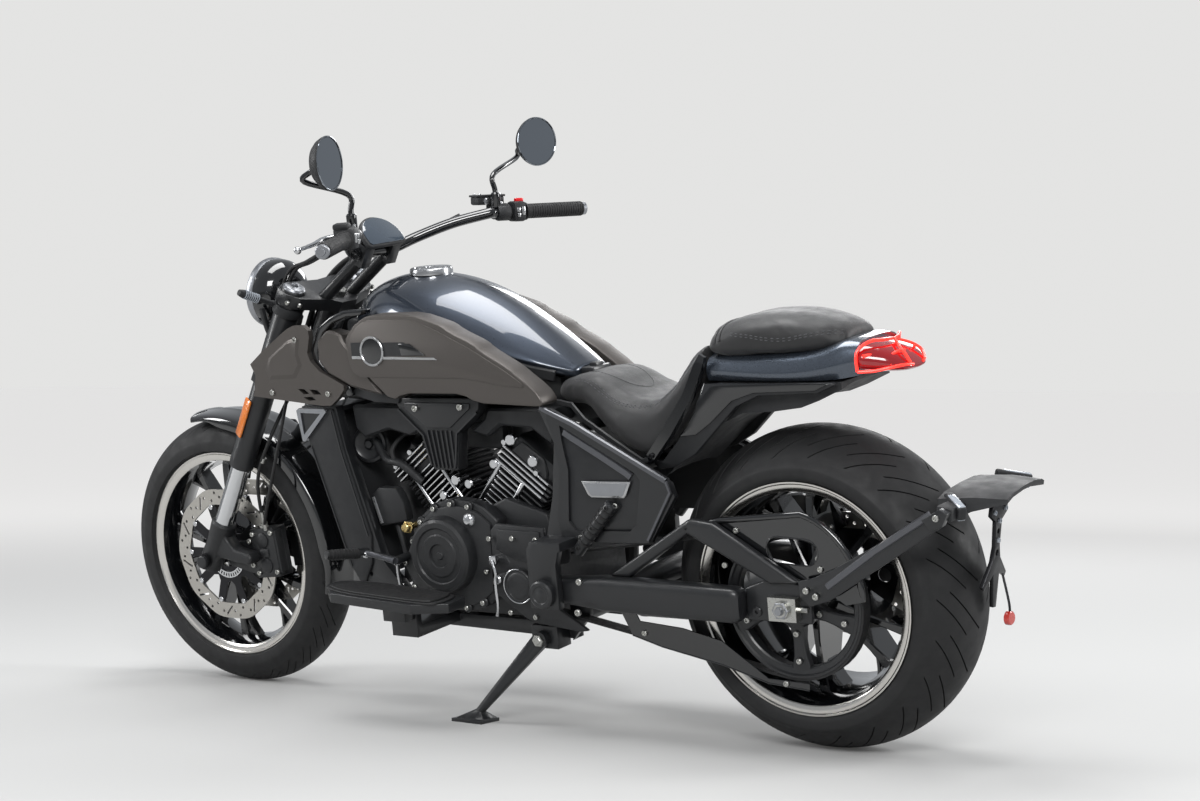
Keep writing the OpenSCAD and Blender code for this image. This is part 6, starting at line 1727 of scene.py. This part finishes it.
def foot_controls():
    """Footboards with crowned pads, shift lever and brake pedal, pegs and the side stand."""
    softened("footboards", "satin_powder_coat", 4)
    pads, ribs, pins = bmesh.new(), bmesh.new(), bmesh.new()
    for s in (1, -1):
        place = Matrix.Translation((730, 0, 294)) @ Matrix.Rotation(math.radians(-3), 4, "Y")
        flat = Matrix(((1, 0, 0, 0), (0, 0, s, 0), (0, 1, 0, 0), (0, 0, 0, 1)))
        rim = eased([(14, 248), (40, 242), (252, 242), (322, 262), (334, 288), (322, 316), (252, 334),
                     (40, 330), (14, 314)], 24.0)
        plate(pads, rim, 19, 24, bevel=2.2, segments=3, place=place @ flat)
        plate(ribs, shrunk(rim, 0.93), 23, 28, bevel=4.4, segments=4, place=place @ flat)
        tube(pins, [(941, s * 150, 372), (941, s * 206, 372)], 7, 16)
        tube(pins, [(941, s * 208, 372), (978, s * 210, 380), (1015, s * 216, 388)], [7, 5.4, 6.4], 12, 4)
        lathe(pins, [(0, 7), (5, 7), (7, 5), (7, -5), (0, -5)], facing((1015, s * 212, 388), (0, s, 0)), 20)
    piece("board_pads", pads, "moulded_rubber", sharp=40)
    piece("board_treads", ribs, "moulded_rubber")
    piece("lever_shafts", pins, "dark_alloy_and_edge_highlight")
    softened("shift_lever", "satin_powder_coat", 1.5)
    softened("brake_pedal", "satin_powder_coat", 1.5)
    toe = bmesh.new()
    for s in (1, -1):
        a, b = Vector((1017, s * 232, 390)), Vector((1050, s * 296, 399.5))
        profile = [(9, 0), (11.5, 1)]
        z = 4
        while z < 66:
            profile += [(12, z), (12, z + 3), (10.8, z + 4), (10.8, z + 6)]
            z += 7
        lathe(toe, profile + [(11, 72), (9, 72), (9, 0)], facing(a, b - a), 20)
    piece("toe_rubbers", toe, "moulded_rubber")
    rod = bmesh.new()
    tube(rod, [(1012, 216, 384), (962, 190, 366), (955, 176, 360)], 3.2, 10)
    tube(rod, [(958, 180, 362), (968, 168, 330), (972, 160, 302)], 4.4, 10, 4)
    for p in ((1012, 216, 384), (958, 180, 362), (972, 160, 302)):
        lathe(rod, [(0, 8), (5, 7), (7.5, 3), (7.5, -3), (5, -7), (0, -8)], facing(p, (0, 1, 0)), 16)
    piece("shift_rod", rod, "machined_alloy")
    softened("passenger_pegs", "satin_powder_coat", 2)
    grip = bmesh.new()
    for s in (1, -1):
        a, b = Vector((376, s * 190, 512)), Vector((462, s * 190, 418))
        for k in range(7):
            lathe(grip, [(12, -3), (14.6, -2.4), (14.6, 2.4), (12, 3), (12, -3)],
                  facing(a + (b - a) * (0.12 + 0.12 * k), b - a), 20)
        for t in (0.05, 0.5, 0.95):
            bolt(grip, a + (b - a) * t + Vector((0, s * 11, 0)), (0, s, 0), 5)
    piece("peg_rings", grip, "moulded_rubber")
    bolts("peg_bracket_screws", [(372, 181, 508), (462, 181, 440)], 6)
    softened("side_stand", "satin_powder_coat", 3)
    pivot = bmesh.new()
    lathe(pivot, [(0, 8), (7, 8), (9, 6), (13, 6), (14, 4), (14, -3), (0, -3)],
          facing((600, 175, 214), (0, 1, 0)), 6)
    piece("stand_pivot_nut", pivot, "plated_steel", body="side_stand")


# ---------- stage ----------


def stage():
    """Pale floor, soft lamps and the camera."""
    floor_paint, tree = start_material("pale_floor")
    rays = add(tree, "ShaderNodeLightPath")
    where = add(tree, "ShaderNodeTexCoord")
    away = add(tree, "ShaderNodeVectorMath", {"operation": "LENGTH"}, {0: where.outputs["Object"]})
    # the floor brightens away from the lamps until it meets the backdrop's tone
    level = add(tree, "ShaderNodeMapRange", {"interpolation_type": "SMOOTHERSTEP"}, {
        "Value": away.outputs["Value"], "From Min": 1.2, "From Max": 8.0, "To Min": 0.05, "To Max": 0.66})
    glow = add(tree, "ShaderNodeMath", {"operation": "MULTIPLY"}, {
        0: rays.outputs["Is Camera Ray"], 1: level.outputs["Result"]})
    skin = add(tree, "ShaderNodeBsdfPrincipled", {}, {
        "Base Color": linear("#b2b2b1"), "Roughness": 0.95, "Emission Color": linear("#f2f0ee"),
        "Emission Strength": glow.outputs[0]})
    add(tree, "ShaderNodeOutputMaterial", {}, {"Surface": skin.outputs["BSDF"]})
    shape = bmesh.new()
    bmesh.ops.create_grid(shape, x_segments=1, y_segments=1, size=60)
    mesh = bpy.data.meshes.new("floor")
    shape.to_mesh(mesh)
    shape.free()
    floor = bpy.data.objects.new("floor", mesh)
    bpy.context.scene.collection.objects.link(floor)
    mesh.materials.append(floor_paint)

    world = bpy.data.worlds.new("studio")
    bpy.context.scene.world = world
    world.use_nodes = True
    tree = world.node_tree
    tree.nodes.clear()
    rays = add(tree, "ShaderNodeLightPath")
    seen = add(tree, "ShaderNodeMath", {"operation": "MAXIMUM"}, {
        0: rays.outputs["Is Camera Ray"], 1: rays.outputs["Is Transmission Ray"]})
    fill = add(tree, "ShaderNodeBackground", {}, {"Color": linear("#dfe3e8"), "Strength": 0.5})
    shown = add(tree, "ShaderNodeBackground", {}, {"Color": linear("#e9e9e8"), "Strength": 0.95})
    both_ways = add(tree, "ShaderNodeMixShader", {}, {
        0: seen.outputs[0], 1: fill.outputs[0], 2: shown.outputs[0]})
    add(tree, "ShaderNodeOutputWorld", {}, {"Surface": both_ways.outputs[0]})

    lamps = [("key_softbox", (-3.0, 4.2, 3.4), (0, 0, 0.5), (2.6, 1.6), 210),
             ("top_softbox", (0.2, 0.0, 4.2), (0, 0, 0.4), (3.2, 1.8), 150),
             ("rim_strip", (-3.6, -2.6, 2.2), (0, 0, 0.7), (0.7, 2.4), 110),
             ("front_strip", (3.6, 2.2, 2.2), (0, 0, 0.6), (0.8, 2.4), 90),
             ("far_softbox", (1.0, -4.2, 2.6), (0, 0, 0.6), (2.4, 1.4), 70)]
    for name, spot, target, size, power in lamps:
        data = bpy.data.lights.new(name, "AREA")
        data.shape = "RECTANGLE"
        data.size, data.size_y = size
        data.energy = power * bpy.context.scene.cruiser_sizes.lamp_level
        lamp = bpy.data.objects.new(name, data)
        lamp.location = spot
        lamp.rotation_euler = (Vector(target) - Vector(spot)).to_track_quat("-Z", "Y").to_euler()
        bpy.context.scene.collection.objects.link(lamp)

    data = bpy.data.cameras.new("camera")
    data.sensor_width = 36.0
    data.lens = bpy.context.scene.cruiser_sizes.lens
    data.clip_start = 0.05
    camera = bpy.data.objects.new("camera", data)
    camera.location = (-2.740, 3.569, 0.750)
    yaw, pitch = math.radians(-55.21), math.radians(-0.89)
    heading = Vector((math.cos(yaw) * math.cos(pitch), math.sin(yaw) * math.cos(pitch), math.sin(pitch)))
    camera.rotation_euler = heading.to_track_quat("-Z", "Y").to_euler()
    bpy.context.scene.collection.objects.link(camera)
    bpy.context.scene.camera = camera
    bpy.context.scene.view_settings.view_transform = "Standard"


# ---------- settings, operators and panel ----------


class CruiserPaint(bpy.types.PropertyGroup):
    """Colours that an owner would change."""

    tank: bpy.props.FloatVectorProperty(
        name="Tank", description="Metallic lacquer of the tank and pillion surround", size=3,
        subtype="COLOR", min=0, max=1, default=linear("#343b46")[:3])
    panels: bpy.props.FloatVectorProperty(
        name="Side panels", description="Satin lacquer of the tank's side panels and head shrouds", size=3,
        subtype="COLOR", min=0, max=1, default=linear("#55514e")[:3])
    frame: bpy.props.FloatVectorProperty(
        name="Frame", description="Powder coat of the frame, fork and swingarm", size=3,
        subtype="COLOR", min=0, max=1, default=linear("#191a1c")[:3])
    trim: bpy.props.FloatVectorProperty(
        name="Gloss parts", description="Gloss lacquer of the fender, guards and bars", size=3,
        subtype="COLOR", min=0, max=1, default=linear("#0c0d0f")[:3])


class CruiserSizes(bpy.types.PropertyGroup):
    """Sizes of the finished pieces that an owner would change."""

    front_pitches: bpy.props.IntProperty(
        name="Front tread pitches", description="Tread pitches round the front tyre", default=30, min=12,
        max=60)
    rear_pitches: bpy.props.IntProperty(
        name="Rear tread pitches", description="Tread pitches round the rear tyre", default=22, min=12,
        max=60)
    stitch: bpy.props.FloatProperty(
        name="Stitch pitch", description="Distance from one seat stitch to the next", default=0.009,
        min=0.004, max=0.02, unit="LENGTH")
    lamp_level: bpy.props.FloatProperty(
        name="Lamp level", description="Share of each studio lamp's full power", default=0.92, min=0.1,
        max=2.0, subtype="FACTOR")
    lens: bpy.props.FloatProperty(
        name="Lens", description="Focal length of the camera", default=63.54, min=20, max=200,
        subtype="DISTANCE_CAMERA")


class CRUISER_OT_finishes(bpy.types.Operator):
    """Make every paint, plastic, rubber and metal."""

    bl_idname = "cruiser.finishes"
    bl_label = "Finishes"

    def execute(self, context):
        make_finishes()
        return {"FINISHED"}


class CRUISER_OT_tyres(bpy.types.Operator):
    """Add both tyres with their tread."""

    bl_idname = "cruiser.tyres"
    bl_label = "Tyres"

    def execute(self, context):
        sizes = context.scene.cruiser_sizes
        tyre("front_tyre_tread", "front_tyre", FRONT_AXLE, radius=320, width=130, flange=FRONT_FLANGE,
             half_rim=FRONT_HALF_RIM, pitches=sizes.front_pitches, body="front_wheel")
        tyre("rear_tyre_tread", "rear_tyre", REAR_AXLE, radius=REAR_Z, width=240, flange=REAR_FLANGE,
             half_rim=REAR_HALF_RIM, pitches=sizes.rear_pitches, body="rear_wheel")
        return {"FINISHED"}


class CRUISER_OT_rims(bpy.types.Operator):
    """Add both cast rims."""

    bl_idname = "cruiser.rims"
    bl_label = "Rims"

    def execute(self, context):
        rim("front_rim_cast", "front_rim", FRONT_AXLE, FRONT_FLANGE, FRONT_HALF_RIM, hub_half=56,
            hub_r=42, spoke_half=15, body="front_wheel")
        rim("rear_rim_cast", "rear_rim", REAR_AXLE, REAR_FLANGE, REAR_HALF_RIM, hub_half=100, hub_r=50,
            spoke_half=26, body="rear_wheel")
        return {"FINISHED"}


class CRUISER_OT_brake_discs(bpy.types.Operator):
    """Add the brake discs, the belt pulley and the belt."""

    bl_idname = "cruiser.brake_discs"
    bl_label = "Brake discs and pulley"

    def execute(self, context):
        front_discs()
        rear_drive()
        return {"FINISHED"}


class CRUISER_OT_fuel_tank(bpy.types.Operator):
    """Add the fuel tank, its lid and its side panels."""

    bl_idname = "cruiser.fuel_tank"
    bl_label = "Fuel tank"

    def execute(self, context):
        fuel_tank()
        tank_side_panels()
        return {"FINISHED"}


class CRUISER_OT_frame_covers(bpy.types.Operator):
    """Add the shrouds beside the steering head and the side plates."""

    bl_idname = "cruiser.frame_covers"
    bl_label = "Frame covers"

    def execute(self, context):
        head_shrouds()
        frame_covers()
        return {"FINISHED"}


class CRUISER_OT_seats(bpy.types.Operator):
    """Stuff and stitch the rider's and the pillion seat."""

    bl_idname = "cruiser.seats"
    bl_label = "Seats"

    def execute(self, context):
        rider_seat()
        pillion_seat()
        return {"FINISHED"}


class CRUISER_OT_tail(bpy.types.Operator):
    """Add the tail cowl, lamp, side trims and mudguard."""

    bl_idname = "cruiser.tail"
    bl_label = "Tail"

    def execute(self, context):
        tail()
        return {"FINISHED"}


class CRUISER_OT_cylinders(bpy.types.Operator):
    """Add both finned cylinders."""

    bl_idname = "cruiser.cylinders"
    bl_label = "Cylinders"

    def execute(self, context):
        both_cylinders()
        return {"FINISHED"}


class CRUISER_OT_engine_covers(bpy.types.Operator):
    """Add the crankcase covers and the cover between the cylinders."""

    bl_idname = "cruiser.engine_covers"
    bl_label = "Engine covers"

    def execute(self, context):
        crankcase()
        air_cover()
        return {"FINISHED"}


class CRUISER_OT_radiator(bpy.types.Operator):
    """Add the radiator with its fins and tanks."""

    bl_idname = "cruiser.radiator"
    bl_label = "Radiator"

    def execute(self, context):
        radiator()
        return {"FINISHED"}


class CRUISER_OT_lower_frame(bpy.types.Operator):
    """Finish the cradle and add the exhaust."""

    bl_idname = "cruiser.lower_frame"
    bl_label = "Lower frame"

    def execute(self, context):
        lower_frame()
        return {"FINISHED"}


class CRUISER_OT_fork(bpy.types.Operator):
    """Add the fork legs, yokes, caps and reflectors, and the front fender."""

    bl_idname = "cruiser.fork"
    bl_label = "Fork"

    def execute(self, context):
        fork()
        front_fender()
        return {"FINISHED"}


class CRUISER_OT_calipers(bpy.types.Operator):
    """Add the front and rear calipers."""

    bl_idname = "cruiser.calipers"
    bl_label = "Calipers"

    def execute(self, context):
        calipers()
        return {"FINISHED"}


class CRUISER_OT_headlamp(bpy.types.Operator):
    """Add the headlamp and its bracket."""

    bl_idname = "cruiser.headlamp"
    bl_label = "Headlamp"

    def execute(self, context):
        headlamp()
        return {"FINISHED"}


class CRUISER_OT_handlebar(bpy.types.Operator):
    """Add the bar with its controls, the dash and both mirrors."""

    bl_idname = "cruiser.handlebar"
    bl_label = "Handlebar"

    def execute(self, context):
        handlebar()
        dash()
        mirrors()
        return {"FINISHED"}


class CRUISER_OT_indicators(bpy.types.Operator):
    """Add the front indicators."""

    bl_idname = "cruiser.indicators"
    bl_label = "Front indicators"

    def execute(self, context):
        front_indicators()
        return {"FINISHED"}


class CRUISER_OT_hoses(bpy.types.Operator):
    """Add the brake hoses and looms."""

    bl_idname = "cruiser.hoses"
    bl_label = "Hoses"

    def execute(self, context):
        hoses()
        return {"FINISHED"}


class CRUISER_OT_swingarm(bpy.types.Operator):
    """Finish the swingarm and add its adjusters and the belt guards."""

    bl_idname = "cruiser.swingarm"
    bl_label = "Swingarm"

    def execute(self, context):
        swingarm()
        belt_guards()
        return {"FINISHED"}


class CRUISER_OT_plate_carrier(bpy.types.Operator):
    """Add the plate arm, holder and rear indicators."""

    bl_idname = "cruiser.plate_carrier"
    bl_label = "Plate carrier"

    def execute(self, context):
        plate_carrier()
        return {"FINISHED"}


class CRUISER_OT_foot_controls(bpy.types.Operator):
    """Add the footboards, levers, pegs and side stand."""

    bl_idname = "cruiser.foot_controls"
    bl_label = "Foot controls"

    def execute(self, context):
        foot_controls()
        return {"FINISHED"}


class CRUISER_OT_stage(bpy.types.Operator):
    """Add the floor, lamps and camera."""

    bl_idname = "cruiser.stage"
    bl_label = "Stage"

    def execute(self, context):
        stage()
        return {"FINISHED"}


OPERATORS = (CRUISER_OT_finishes, CRUISER_OT_tyres, CRUISER_OT_rims, CRUISER_OT_brake_discs,
             CRUISER_OT_fuel_tank, CRUISER_OT_frame_covers, CRUISER_OT_seats, CRUISER_OT_tail,
             CRUISER_OT_cylinders, CRUISER_OT_engine_covers, CRUISER_OT_radiator, CRUISER_OT_lower_frame,
             CRUISER_OT_fork, CRUISER_OT_calipers, CRUISER_OT_headlamp, CRUISER_OT_handlebar,
             CRUISER_OT_indicators, CRUISER_OT_hoses, CRUISER_OT_swingarm, CRUISER_OT_plate_carrier,
             CRUISER_OT_foot_controls, CRUISER_OT_stage)


class CRUISER_PT_panel(bpy.types.Panel):
    """Lists the settings and every piece in the order it is made."""

    bl_label = "Cruiser"
    bl_space_type = "VIEW_3D"
    bl_region_type = "UI"
    bl_category = "Cruiser"

    def draw(self, context):
        for group in (context.scene.cruiser_paint, context.scene.cruiser_sizes):
            for key in group.__annotations__:
                self.layout.prop(group, key)
        for operator in OPERATORS:
            self.layout.operator(operator.bl_idname)


CLASSES = (CruiserPaint, CruiserSizes, *OPERATORS, CRUISER_PT_panel)


def register():
    for kind in CLASSES:
        bpy.utils.register_class(kind)
    bpy.types.Scene.cruiser_paint = bpy.props.PointerProperty(type=CruiserPaint)
    bpy.types.Scene.cruiser_sizes = bpy.props.PointerProperty(type=CruiserSizes)


def unregister():
    del bpy.types.Scene.cruiser_sizes
    del bpy.types.Scene.cruiser_paint
    for kind in reversed(CLASSES):
        bpy.utils.unregister_class(kind)


def main():
    """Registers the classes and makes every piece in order."""
    register()
    for operator in OPERATORS:
        getattr(bpy.ops.cruiser, operator.bl_idname.split(".")[1])()


if __name__ == "__main__":
    main()
